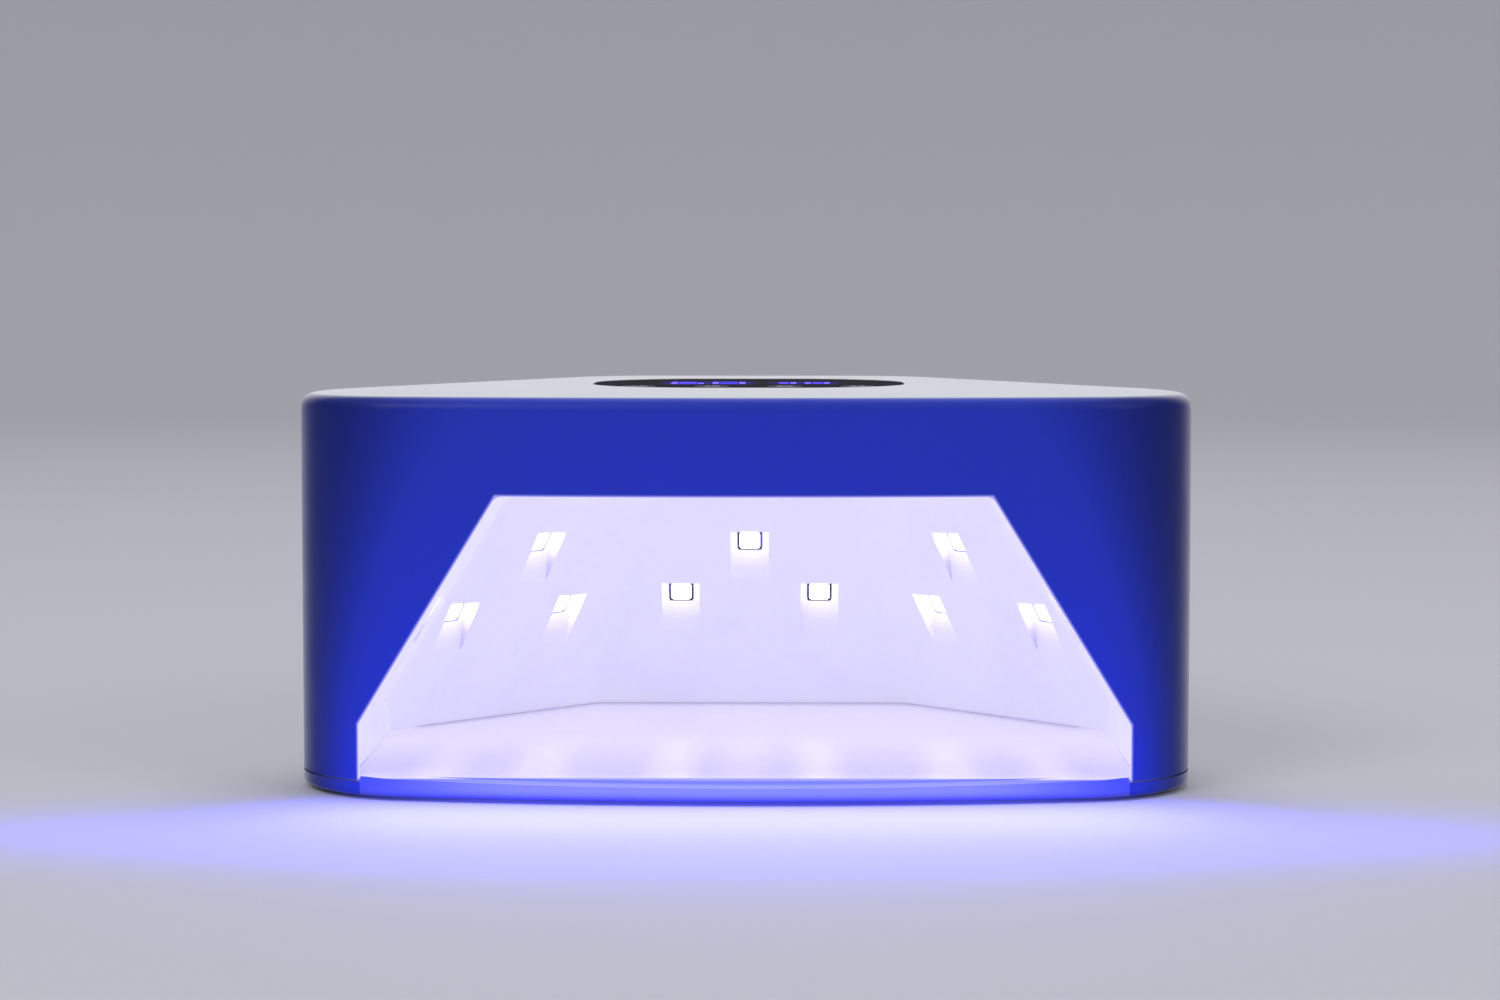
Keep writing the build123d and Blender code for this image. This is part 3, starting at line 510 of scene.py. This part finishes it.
def ledPackage(node):
    # a lit square lens on a ceramic base, painted dark as shade in the back wall and pale as light in the
    # others
    paint = Paint(f"{node}_package")
    way, front = lensPlane(node)
    lens = paint.fade(paint.dot(paint.place, way), *[front - height for height in leds["lensHeights"]])
    die = paint.fade(paint.nearest(middles(node)), *leds["dieReach"])
    speckle = paint.noise(2600, 2.0)
    ceramic = leds["ceramic"] if node == "back_leds" else leds["litCeramic"]
    return paint.wear({
        "Base Color": paint.mix(lens, ceramic, leds["lens"]),
        "Roughness": speckle * 0.2 + 0.18,
        "Normal": paint.bump(speckle, 0.00001),
        "Emission Color": paint.mix(lens, dark, paint.mix(die, leds["light"], leds["die"])),
        "Emission Strength": leds["strength"],
    })


panel = {
    "black": rgb(14, 14, 20),
    "dust": rgb(120, 120, 126),
    # painted light: the digits' violet glow on the dark glass
    "halo": rgb(60, 44, 196),
    "haloReach": 0.0034,
    "haloShare": 0.36,
    "groupGap": 0.0030,
    "roughness": 0.07,
}


def digitGroups():
    # the boxes of the groups of digits, which a wide gap parts
    groups = []
    for low, high in sorted(islands("display_segments"), key=lambda box: box[0].x):
        if groups and low.x - groups[-1][1].x < panel["groupGap"]:
            first, last = groups[-1]
            low = Vector([min(pair) for pair in zip(first, low)])
            high = Vector([max(pair) for pair in zip(last, high)])
            groups.pop()
        groups.append((low, high))
    return groups


def haloRound(paint, low, high):
    # 1 within a box seen from above, fading out round it
    middle, half = (low + high) / 2, (high - low) / 2
    sideways = paint.larger(abs(paint.x - middle.x) - half.x, 0.0)
    forwards = paint.larger(abs(paint.y - middle.y) - half.y, 0.0)
    return paint.fade((sideways * sideways + forwards * forwards) ** 0.5, panel["haloReach"], 0.0)


def panelGloss():
    paint = Paint("panelGloss")
    # painted light, as emission round each group of digits
    halo = sum(haloRound(paint, low, high) for low, high in digitGroups())
    smudge = paint.fade(paint.noise(70, 5.0, 0.6, (1, 0.6, 1)), 0.45, 0.75)
    dust = paint.noise(2400, 2.0) > 0.74
    lines = paint.fade(paint.noise(600, 3.0, 0.6, (0.05, 1, 1)), 0.66, 0.72)
    return paint.wear({
        "Base Color": paint.mix(dust * 0.25, panel["black"], panel["dust"]),
        "Roughness": smudge * 0.12 + lines * 0.05 + panel["roughness"],
        "Normal": paint.bump(paint.noise(25, 1.0), 0.00002),
        "Emission Color": paint.mix(halo * panel["haloShare"], dark, panel["halo"]),
        "Emission Strength": 1.0,
        "Specular IOR Level": 0.0,
        "Coat Weight": 0.10,
        "Coat Roughness": 0.04,
    })


digit = {
    "filter": rgb(30, 26, 90),
    "light": rgb(70, 56, 255),
    "paleLight": rgb(112, 98, 255),
    "strength": 4.4,
}


def digitLight():
    paint = Paint("digitLight")
    grain = paint.noise(900, 2.0)
    cloud = paint.fade(grain, 0.3, 0.7)
    return paint.wear({
        "Base Color": digit["filter"],
        "Specular IOR Level": 0.0,
        "Roughness": grain * 0.1 + 0.1,
        "Normal": paint.bump(grain, 0.000005),
        "Emission Color": paint.mix(cloud * 0.3, digit["light"], digit["paleLight"]),
        "Emission Strength": digit["strength"],
    })


buttonTimes = (10, 30, 60, 99)
button = {
    "dark": rgb(34, 34, 42),
    "worn": rgb(58, 58, 66),
    "edgeFacing": (0.97, 0.80),
    "edgeDepths": (0.0005, 0.0002),
    "roughness": 0.34,
    "grainSize": 0.0005,
    "grainDepth": 0.00001,
    "waveDepth": 0.00001,
}


def buttonPlastic():
    paint = Paint("buttonPlastic")
    normal, rubbed = plasticSurface(paint, button)
    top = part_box("timer_button_10")[1].z
    edge = paint.fade(paint.z, *[top - depth for depth in button["edgeDepths"]])
    edge = edge * paint.fade(paint.up, *button["edgeFacing"])
    return paint.wear({
        "Base Color": paint.mix(rubbed * 0.4 + edge * 0.5, button["dark"], button["worn"]),
        "Roughness": rubbed * 0.15 - edge * 0.1 + button["roughness"],
        "Normal": normal,
    })


ink = {"white": rgb(222, 222, 230), "worn": rgb(168, 168, 178), "roughness": 0.4}


def printWhite():
    paint = Paint("printWhite")
    flecks = paint.noise(3000, 3.0)
    return paint.wear({
        "Base Color": paint.mix(paint.fade(flecks, 0.5, 0.75), ink["white"], ink["worn"]),
        "Roughness": flecks * 0.2 + ink["roughness"],
        "Normal": paint.bump(flecks, 0.000004),
    })


foot = {"black": rgb(42, 42, 45), "dust": rgb(96, 94, 92), "dustShare": 0.4, "roughness": 0.7}


def rubber():
    paint = Paint("rubber")
    grain = paint.noise(1500, 4.0, 0.6)
    dust = paint.fade(paint.noise(160, 4.0), 0.5, 0.75)
    return paint.wear({
        "Base Color": paint.mix(dust * foot["dustShare"], foot["black"], foot["dust"]),
        "Roughness": grain * 0.2 + foot["roughness"],
        "Normal": paint.bump(grain, 0.00003),
    })


disc = {
    "colour": rgb(186, 188, 192),
    "tarnish": rgb(150, 148, 146),
    "roughness": 0.28,
    "ringPitch": 0.0003,
}
magnet = {
    "colour": rgb(206, 206, 208),
    "tarnish": rgb(168, 168, 172),
    "roughness": 0.16,
    "ringPitch": 0.0008,
}


def turnedMetal(name, node, look):
    # metal with rings about each piece's own middle, and a little tarnish
    paint = Paint(name)
    rings = paint.sine(paint.nearest(middles(node)) * (2 * pi / look["ringPitch"]))
    patches = paint.fade(paint.noise(500, 4.0), 0.45, 0.7)
    return paint.wear({
        "Base Color": paint.mix(patches * 0.6, look["colour"], look["tarnish"]),
        "Metallic": 1.0,
        "Roughness": patches * 0.18 + look["roughness"],
        "Normal": paint.bump(rings, 0.000004),
    })


screw = {"zinc": rgb(196, 198, 202), "dullZinc": rgb(158, 160, 166), "roughness": 0.26}


def screwSteel():
    # zinc plating with dull patches
    paint = Paint("screwSteel")
    grain = paint.noise(1800, 3.0)
    patches = paint.fade(paint.noise(350, 4.0), 0.45, 0.7)
    return paint.wear({
        "Base Color": paint.mix(patches, screw["zinc"], screw["dullZinc"]),
        "Metallic": 1.0,
        "Roughness": patches * 0.2 + screw["roughness"],
        "Normal": paint.bump(grain, 0.000008),
    })


board = {
    "white": (rgb(232, 232, 228), rgb(214, 214, 210), rgb(150, 152, 156)),  # mask, tracks, cut edge
    "green": (rgb(16, 84, 52), rgb(34, 116, 74), rgb(150, 138, 88)),
    "tin": rgb(198, 200, 202),
    "tracksPerMetre": 1300,
    "wallLean": 0.522,  # the upward part of the wall boards' normals
}


def circuitBoard(name, look, leans=False):
    # solder mask over blocks of parallel tracks, with tinned vias
    paint = Paint(name)
    mask, tracks, edge = board[look]
    cells = {"voronoi_dimensions": "3D", "distance": "CHEBYCHEV"}
    block = paint.node("TexVoronoi", cells, {"Vector": paint.place, "Scale": 130.0}, "Color")
    pick, level, _ = paint.split(block)
    sideways = paint.fraction(paint.x * board["tracksPerMetre"])
    upways = paint.fraction((paint.y + paint.z) * board["tracksPerMetre"])
    lines = paint.mix(pick > 0.5, sideways, upways)
    track = (paint.split(lines)[0] > 0.55) * (level > 0.35)
    dots = paint.node("TexVoronoi", {}, {"Vector": paint.place, "Scale": 260.0, "Randomness": 0.9}) < 0.11
    colour = paint.mix(track, mask, tracks)
    colour = paint.mix(dots, colour, board["tin"])
    if leans:
        cut = paint.fade(abs(abs(paint.up) - board["wallLean"]), 0.02, 0.06)
    else:
        cut = paint.fade(abs(paint.up), 0.8, 0.4)
    speckle = paint.noise(1400, 3.0)
    return paint.wear({
        "Base Color": paint.mix(cut, colour, edge),
        "Roughness": speckle * 0.12 + 0.3,
        "Metallic": dots * 0.8,
        "Normal": paint.bump(track, 0.00002, paint.bump(speckle, 0.000006)),
    })


plunger = {"dark": rgb(28, 28, 31), "light": rgb(46, 46, 50), "roughness": 0.4, "grainSize": 0.0005}
buzzer = {"dark": rgb(20, 20, 22), "light": rgb(38, 38, 41), "roughness": 0.36, "grainSize": 0.0005}
jack = {"dark": rgb(16, 16, 18), "light": rgb(34, 34, 37), "roughness": 0.32, "grainSize": 0.0007}


def mouldedBlack(name, look):
    paint = Paint(name)
    grain = paint.noise(1 / look["grainSize"], 3.0)
    wipe = paint.fade(paint.noise(240, 4.0), 0.45, 0.7)
    return paint.wear({
        "Base Color": paint.mix(wipe * 0.6, look["dark"], look["light"]),
        "Roughness": wipe * 0.15 + look["roughness"],
        "Normal": paint.bump(grain, 0.000015),
    })


switch = {
    "black": rgb(24, 24, 27),
    "paleBlack": rgb(40, 40, 44),
    "cover": rgb(190, 192, 196),
    "coverThickness": 0.0004,
    "roughness": 0.34,
}


def switchBody():
    # black moulding under a brushed cover plate
    paint = Paint("switchBody")
    cover = paint.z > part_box("tact_switches")[1].z - switch["coverThickness"]
    brushed = paint.noise(1500, 2.0, 0.5, (1, 0.04, 1))
    moulding = paint.mix(paint.noise(1600, 3.0), switch["black"], switch["paleBlack"])
    return paint.wear({
        "Base Color": paint.mix(cover, moulding, switch["cover"]),
        "Metallic": cover * 0.95,
        "Roughness": brushed * 0.25 - cover * 0.12 + switch["roughness"],
        "Normal": paint.bump(brushed, 0.000008),
    })


chip = {
    "epoxy": rgb(26, 26, 29),
    "paleEpoxy": rgb(44, 44, 47),
    "tin": rgb(188, 190, 194),
    "legPitch": 0.00127,
    "roughness": 0.42,
}


def chipEpoxy():
    # grey epoxy with tinned legs on its sides
    paint = Paint("chipEpoxy")
    legs = paint.fraction((paint.x + 0.1) * (1 / chip["legPitch"])) > 0.5
    tin = legs * paint.fade(abs(paint.up), 0.5, 0.2)
    grain = paint.noise(2600, 3.0)
    return paint.wear({
        "Base Color": paint.mix(tin, paint.mix(grain, chip["epoxy"], chip["paleEpoxy"]), chip["tin"]),
        "Metallic": tin * 0.9,
        "Roughness": grain * 0.15 + chip["roughness"],
        "Normal": paint.bump(grain, 0.00001),
    })


module = {
    "housing": rgb(214, 212, 206),
    "housingShade": rgb(196, 194, 188),
    "filter": rgb(18, 18, 24),
    "filterThickness": 0.0003,
    "roughness": 0.3,
}


def moduleBody():
    # black filter face over a pale housing
    paint = Paint("moduleBody")
    face = paint.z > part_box("display_module")[1].z - module["filterThickness"]
    grain = paint.noise(1200, 3.0)
    pale = paint.mix(grain, module["housing"], module["housingShade"])
    return paint.wear({
        "Base Color": paint.mix(face, pale, module["filter"]),
        "Roughness": grain * 0.2 + module["roughness"],
        "Normal": paint.bump(grain, 0.00001),
    })


capacitor = {
    "sleeve": rgb(24, 30, 46),
    "stripe": rgb(190, 196, 206),
    "can": rgb(206, 208, 212),
    "score": rgb(120, 122, 126),
    "topDepths": (0.0009, 0.0006),
    "scoreHalf": 0.00016,
    "stripeStart": 0.0031,
    "roughness": 0.24,
}


def capacitorCan():
    # dark sleeve with a pale stripe, and an aluminium top scored with a cross
    paint = Paint("capacitorCan")
    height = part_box("capacitors")[1].z
    middle = middles("capacitors")[0]
    across = abs(paint.x) - abs(middle.x)
    along = paint.y - middle.y
    top = paint.fade(paint.z, *[height - depth for depth in capacitor["topDepths"]])
    # the scored cross is painted darker, as shade in its grooves
    score = either(abs(across) < capacitor["scoreHalf"], abs(along) < capacitor["scoreHalf"])
    sleeve = paint.mix(across > capacitor["stripeStart"], capacitor["sleeve"], capacitor["stripe"])
    brushed = paint.noise(1400, 3.0, 0.5, (1, 1, 0.1))
    return paint.wear({
        "Base Color": paint.mix(top, sleeve, paint.mix(score, capacitor["can"], capacitor["score"])),
        "Metallic": top * 0.95,
        "Roughness": brushed * 0.2 + capacitor["roughness"],
        "Normal": paint.bump(brushed, 0.000008, paint.bump(score * top * -1, 0.0001)),
    })


inductor = {
    "ferrite": rgb(52, 53, 56),
    "paleFerrite": rgb(78, 79, 82),
    "copper": rgb(150, 84, 48),
    "bandEdge": (0.0016, 0.0012),
    "wirePitch": 0.0004,
    "roughness": 0.4,
}


def inductorCore():
    # a ferrite block with a copper-brown winding band round its waist
    paint = Paint("inductorCore")
    low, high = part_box("power_inductor")
    waist = (low.z + high.z) / 2
    band = paint.fade(abs(paint.z - waist), *inductor["bandEdge"])
    turns = paint.sine(paint.z * (2 * pi / inductor["wirePitch"]))
    grain = paint.noise(1500, 4.0, 0.6)
    ferrite = paint.mix(grain, inductor["ferrite"], inductor["paleFerrite"])
    return paint.wear({
        "Base Color": paint.mix(band, ferrite, inductor["copper"]),
        "Metallic": band * 0.6,
        "Roughness": grain * 0.25 + inductor["roughness"],
        "Normal": paint.bump(turns * band, 0.00008, paint.bump(grain, 0.00002)),
    })


ribbon = {
    "grey": rgb(150, 152, 156),
    "paleGrey": rgb(176, 178, 182),
    "grooveShade": rgb(88, 88, 92),
    "edgeWire": rgb(176, 44, 40),
    "wires": 8,
    "ridgeHeight": 0.0001,
    "roughness": 0.4,
}


def ribbonWire():
    # grey wires side by side, one edge wire red
    paint = Paint("ribbonWire")
    low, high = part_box("ribbon_cable")
    across = (paint.x - low.x) * (ribbon["wires"] / (high.x - low.x))
    ridges = paint.sine(across * (2 * pi))
    grain = paint.noise(900, 3.0)
    grey = paint.mix(grain, ribbon["grey"], ribbon["paleGrey"])
    colour = paint.mix(across < 1.0, grey, ribbon["edgeWire"])
    return paint.wear({
        # painted shade in the grooves between the wires
        "Base Color": paint.mix(paint.fade(ridges, -0.6, -0.98) * 0.6, colour, ribbon["grooveShade"]),
        "Roughness": grain * 0.15 + ribbon["roughness"],
        "Normal": paint.bump(ridges, ribbon["ridgeHeight"]),
    })


socket = {"nylon": rgb(234, 228, 208), "shade": rgb(218, 210, 186), "roughness": 0.35}


def socketNylon():
    paint = Paint("socketNylon")
    grain = paint.noise(1100, 3.0)
    cloud = paint.fade(paint.noise(300, 3.0), 0.4, 0.7)
    return paint.wear({
        "Base Color": paint.mix(cloud, socket["nylon"], socket["shade"]),
        "Roughness": grain * 0.2 + socket["roughness"],
        "Normal": paint.bump(grain, 0.000012),
    })


sensor = {"clear": rgb(176, 180, 214), "dark": rgb(22, 18, 34), "roughness": 0.08}


def sensorDomes():
    # one clear emitter and one dark receiver
    paint = Paint("sensorDomes")
    speck = paint.noise(1800, 2.0)
    return paint.wear({
        "Base Color": paint.mix(paint.x > 0, sensor["clear"], sensor["dark"]),
        "Roughness": speck * 0.1 + sensor["roughness"],
        "Normal": paint.bump(speck, 0.000004),
    })


pin = {"nickel": rgb(204, 200, 190), "worn": rgb(172, 168, 160), "roughness": 0.14}


def nickel():
    paint = Paint("nickel")
    scratches = paint.noise(900, 4.0, 0.6, (1, 0.1, 0.1))
    return paint.wear({
        "Base Color": paint.mix(scratches, pin["nickel"], pin["worn"]),
        "Metallic": 1.0,
        "Roughness": scratches * 0.25 + pin["roughness"],
        "Normal": paint.bump(scratches, 0.000006),
    })


finish(shellPlastic(), "outer_shell")
finish(linerPlastic(), "chamber_liner")
finish(basePlastic(), "base_plate")
finish(rubber(), "rubber_feet")
finish(turnedMetal("discSteel", "steel_discs", disc), "steel_discs")
finish(turnedMetal("magnetPlating", "housing_magnets", magnet), "housing_magnets")
finish(screwSteel(), "housing_screws", "led_board_screws", "control_board_screws", "power_board_screws")
for ledGroup in wallLedNodes + ["ceiling_leds"]:
    finish(ledPackage(ledGroup), ledGroup)
finish(circuitBoard("ledBoardMask", "white", leans=True), *wallBoards)
finish(circuitBoard("ceilingBoardMask", "white"), "ceiling_led_board")
finish(circuitBoard("greenBoard", "green"), "control_board", "power_board")
finish(panelGloss(), "control_panel")
finish(digitLight(), "display_segments")
finish(moduleBody(), "display_module")
finish(buttonPlastic(), *[f"timer_button_{seconds}" for seconds in buttonTimes])
finish(mouldedBlack("plungerBlack", plunger), *[f"switch_plunger_{seconds}" for seconds in buttonTimes])
finish(switchBody(), "tact_switches")
finish(chipEpoxy(), "control_chip", "driver_chips")
finish(mouldedBlack("buzzerCase", buzzer), "buzzer")
finish(capacitorCan(), "capacitors")
finish(inductorCore(), "power_inductor")
finish(mouldedBlack("jackBody", jack), "dc_jack")
finish(nickel(), "dc_centre_pin")
finish(socketNylon(), "ribbon_sockets")
finish(ribbonWire(), "ribbon_cable")
finish(sensorDomes(), "hand_sensor")
print("materials on the CAD nodes")

numbers = {"size": 0.0040, "thickness": 0.00004, "lift": 0.00001}
numberInk = printWhite()
for seconds in buttonTimes:
    low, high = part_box(f"timer_button_{seconds}")
    text = bpy.data.curves.new(f"number{seconds}", "FONT")
    text.body = str(seconds)
    text.size = numbers["size"]
    text.extrude = numbers["thickness"] / 2
    text.align_x = "CENTER"
    text.align_y = "CENTER"
    holder = bpy.data.objects.new("numberText", text)
    bpy.context.scene.collection.objects.link(holder)
    bpy.context.view_layer.update()
    mesh = bpy.data.meshes.new_from_object(holder)
    bpy.data.objects.remove(holder)
    middle = (low + high) / 2
    mesh.transform(Matrix.Translation((middle.x, middle.y, high.z + numbers["lift"])))
    piece = bpy.data.objects.new(f"timer_number_{seconds}", mesh)
    bpy.context.scene.collection.objects.link(piece)
    piece.data.materials.append(numberInk)
    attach(piece, f"button_{seconds}")
print("numbers on the buttons")

studio = {
    "floor": rgb(190, 190, 199),
    "background": rgb(222, 222, 228),
    "radius": 2.6,
    "curve": 0.9,
    "height": 2.6,
    "worldLight": 0.55,
    "aim": Vector((0, 0, 0.04)),
    # name, place, width, power
    "lamps": [
        ("keyLight", (-1.1, -1.5, 1.6), 1.3, 17.0),
        ("fillLight", (1.5, -1.0, 1.1), 1.3, 8.0),
        ("topLight", (0.1, 0.6, 2.0), 1.6, 13.0),
    ],
    # name, place, size, tilt, spread, power, colour
    "spills": [
        ("nearSpill", (0, -0.084, 0.030), (0.180, 0.026), 26, 120, 0.18, (0.10, 0.10, 1.0)),
        ("wideSpill", (0, -0.112, 0.040), (0.300, 0.020), 0, 116, 0.065, (0.03, 0.03, 1.0)),
    ],
}


def sweep():
    # a round floor whose rim curves up into a backdrop
    work = bmesh.new()
    first = work.verts.new((0, 0, 0))
    rim = work.verts.new((studio["radius"], 0, 0))
    wall = work.verts.new((studio["radius"] + studio["curve"], 0, studio["height"]))
    work.edges.new((first, rim))
    work.edges.new((rim, wall))
    bevelling = {"offset": studio["curve"], "segments": 12, "profile": 0.5, "material": -1}
    bmesh.ops.bevel(work, geom=[rim], affect="VERTICES", **bevelling)
    turning = {"cent": (0, 0, 0), "axis": (0, 0, 1), "angle": 2 * pi, "steps": 96, "use_merge": True}
    bmesh.ops.spin(work, geom=work.verts[:] + work.edges[:], **turning)
    bmesh.ops.remove_doubles(work, verts=work.verts, dist=1e-5)
    bmesh.ops.recalc_face_normals(work, faces=work.faces)
    for face in work.faces:
        face.smooth = True
    mesh = bpy.data.meshes.new("studioFloor")
    work.to_mesh(mesh)
    work.free()
    piece = bpy.data.objects.new("studioFloor", mesh)
    bpy.context.scene.collection.objects.link(piece)
    paint = Paint("studioPaper")
    grain = paint.noise(600, 3.0)
    mesh.materials.append(paint.wear({
        "Base Color": studio["floor"],
        "Roughness": 0.75,
        "Specular IOR Level": 0.2,
        "Normal": paint.bump(grain, 0.00005),
    }))


def worldLight():
    # pale to the camera and in reflections, and softer as light
    world = bpy.data.worlds.new("studioWorld")
    bpy.context.scene.world = world
    world.use_nodes = True
    tree = world.node_tree
    shown = tree.nodes["Background"]
    shown.inputs["Color"].default_value = studio["background"]
    shown.inputs["Strength"].default_value = 1.0
    lit = tree.nodes.new("ShaderNodeBackground")
    lit.inputs["Color"].default_value = (1, 1, 1, 1)
    lit.inputs["Strength"].default_value = studio["worldLight"]
    path = tree.nodes.new("ShaderNodeLightPath")
    seen = path.outputs["Is Camera Ray"]
    for ray in ("Is Glossy Ray", "Is Transmission Ray"):
        larger = tree.nodes.new("ShaderNodeMath")
        larger.operation = "MAXIMUM"
        tree.links.new(seen, larger.inputs[0])
        tree.links.new(path.outputs[ray], larger.inputs[1])
        seen = larger.outputs[0]
    choose = tree.nodes.new("ShaderNodeMixShader")
    tree.links.new(seen, choose.inputs[0])
    tree.links.new(lit.outputs[0], choose.inputs[1])
    tree.links.new(shown.outputs[0], choose.inputs[2])
    tree.links.new(choose.outputs[0], tree.nodes["World Output"].inputs["Surface"])


def areaLamp(name, place, power):
    light = bpy.data.lights.new(name, "AREA")
    light.energy = power
    lamp = bpy.data.objects.new(name, light)
    lamp.location = place
    bpy.context.scene.collection.objects.link(lamp)
    return light, lamp


def studioLights():
    worldLight()
    for name, place, size, power in studio["lamps"]:
        light, lamp = areaLamp(name, place, power)
        light.shape = "DISK"
        light.size = size
        lamp.rotation_euler = (studio["aim"] - Vector(place)).to_track_quat("-Z", "Y").to_euler()
    # the violet light that leaves the chamber and falls on the table
    for name, place, size, tilt, spread, power, colour in studio["spills"]:
        light, lamp = areaLamp(name, place, power)
        light.shape = "RECTANGLE"
        light.size, light.size_y = size
        light.spread = radians(spread)
        light.color = colour
        lamp.rotation_euler = (radians(-tilt), 0, 0)
        lamp.visible_camera = False
        lamp.visible_glossy = False


sweep()
studioLights()
bpy.context.scene.view_settings.view_transform = "Standard"
print("studio set")

view = {
    "place": (0.0100, -0.7765, 0.1123),
    "tilt": 3.96,
    "turn": 0.71,
    "lens": 81.38,
    "sensorWidth": 36.0,
    "clipStart": 0.01,
}
photoLens = bpy.data.cameras.new("photoCamera")
photoLens.lens = view["lens"]
photoLens.sensor_width = view["sensorWidth"]
photoLens.clip_start = view["clipStart"]
camera = bpy.data.objects.new("photoCamera", photoLens)
camera.location = view["place"]
camera.rotation_euler = (radians(90 - view["tilt"]), 0, radians(view["turn"]))
bpy.context.scene.collection.objects.link(camera)
bpy.context.scene.camera = camera

print("done")
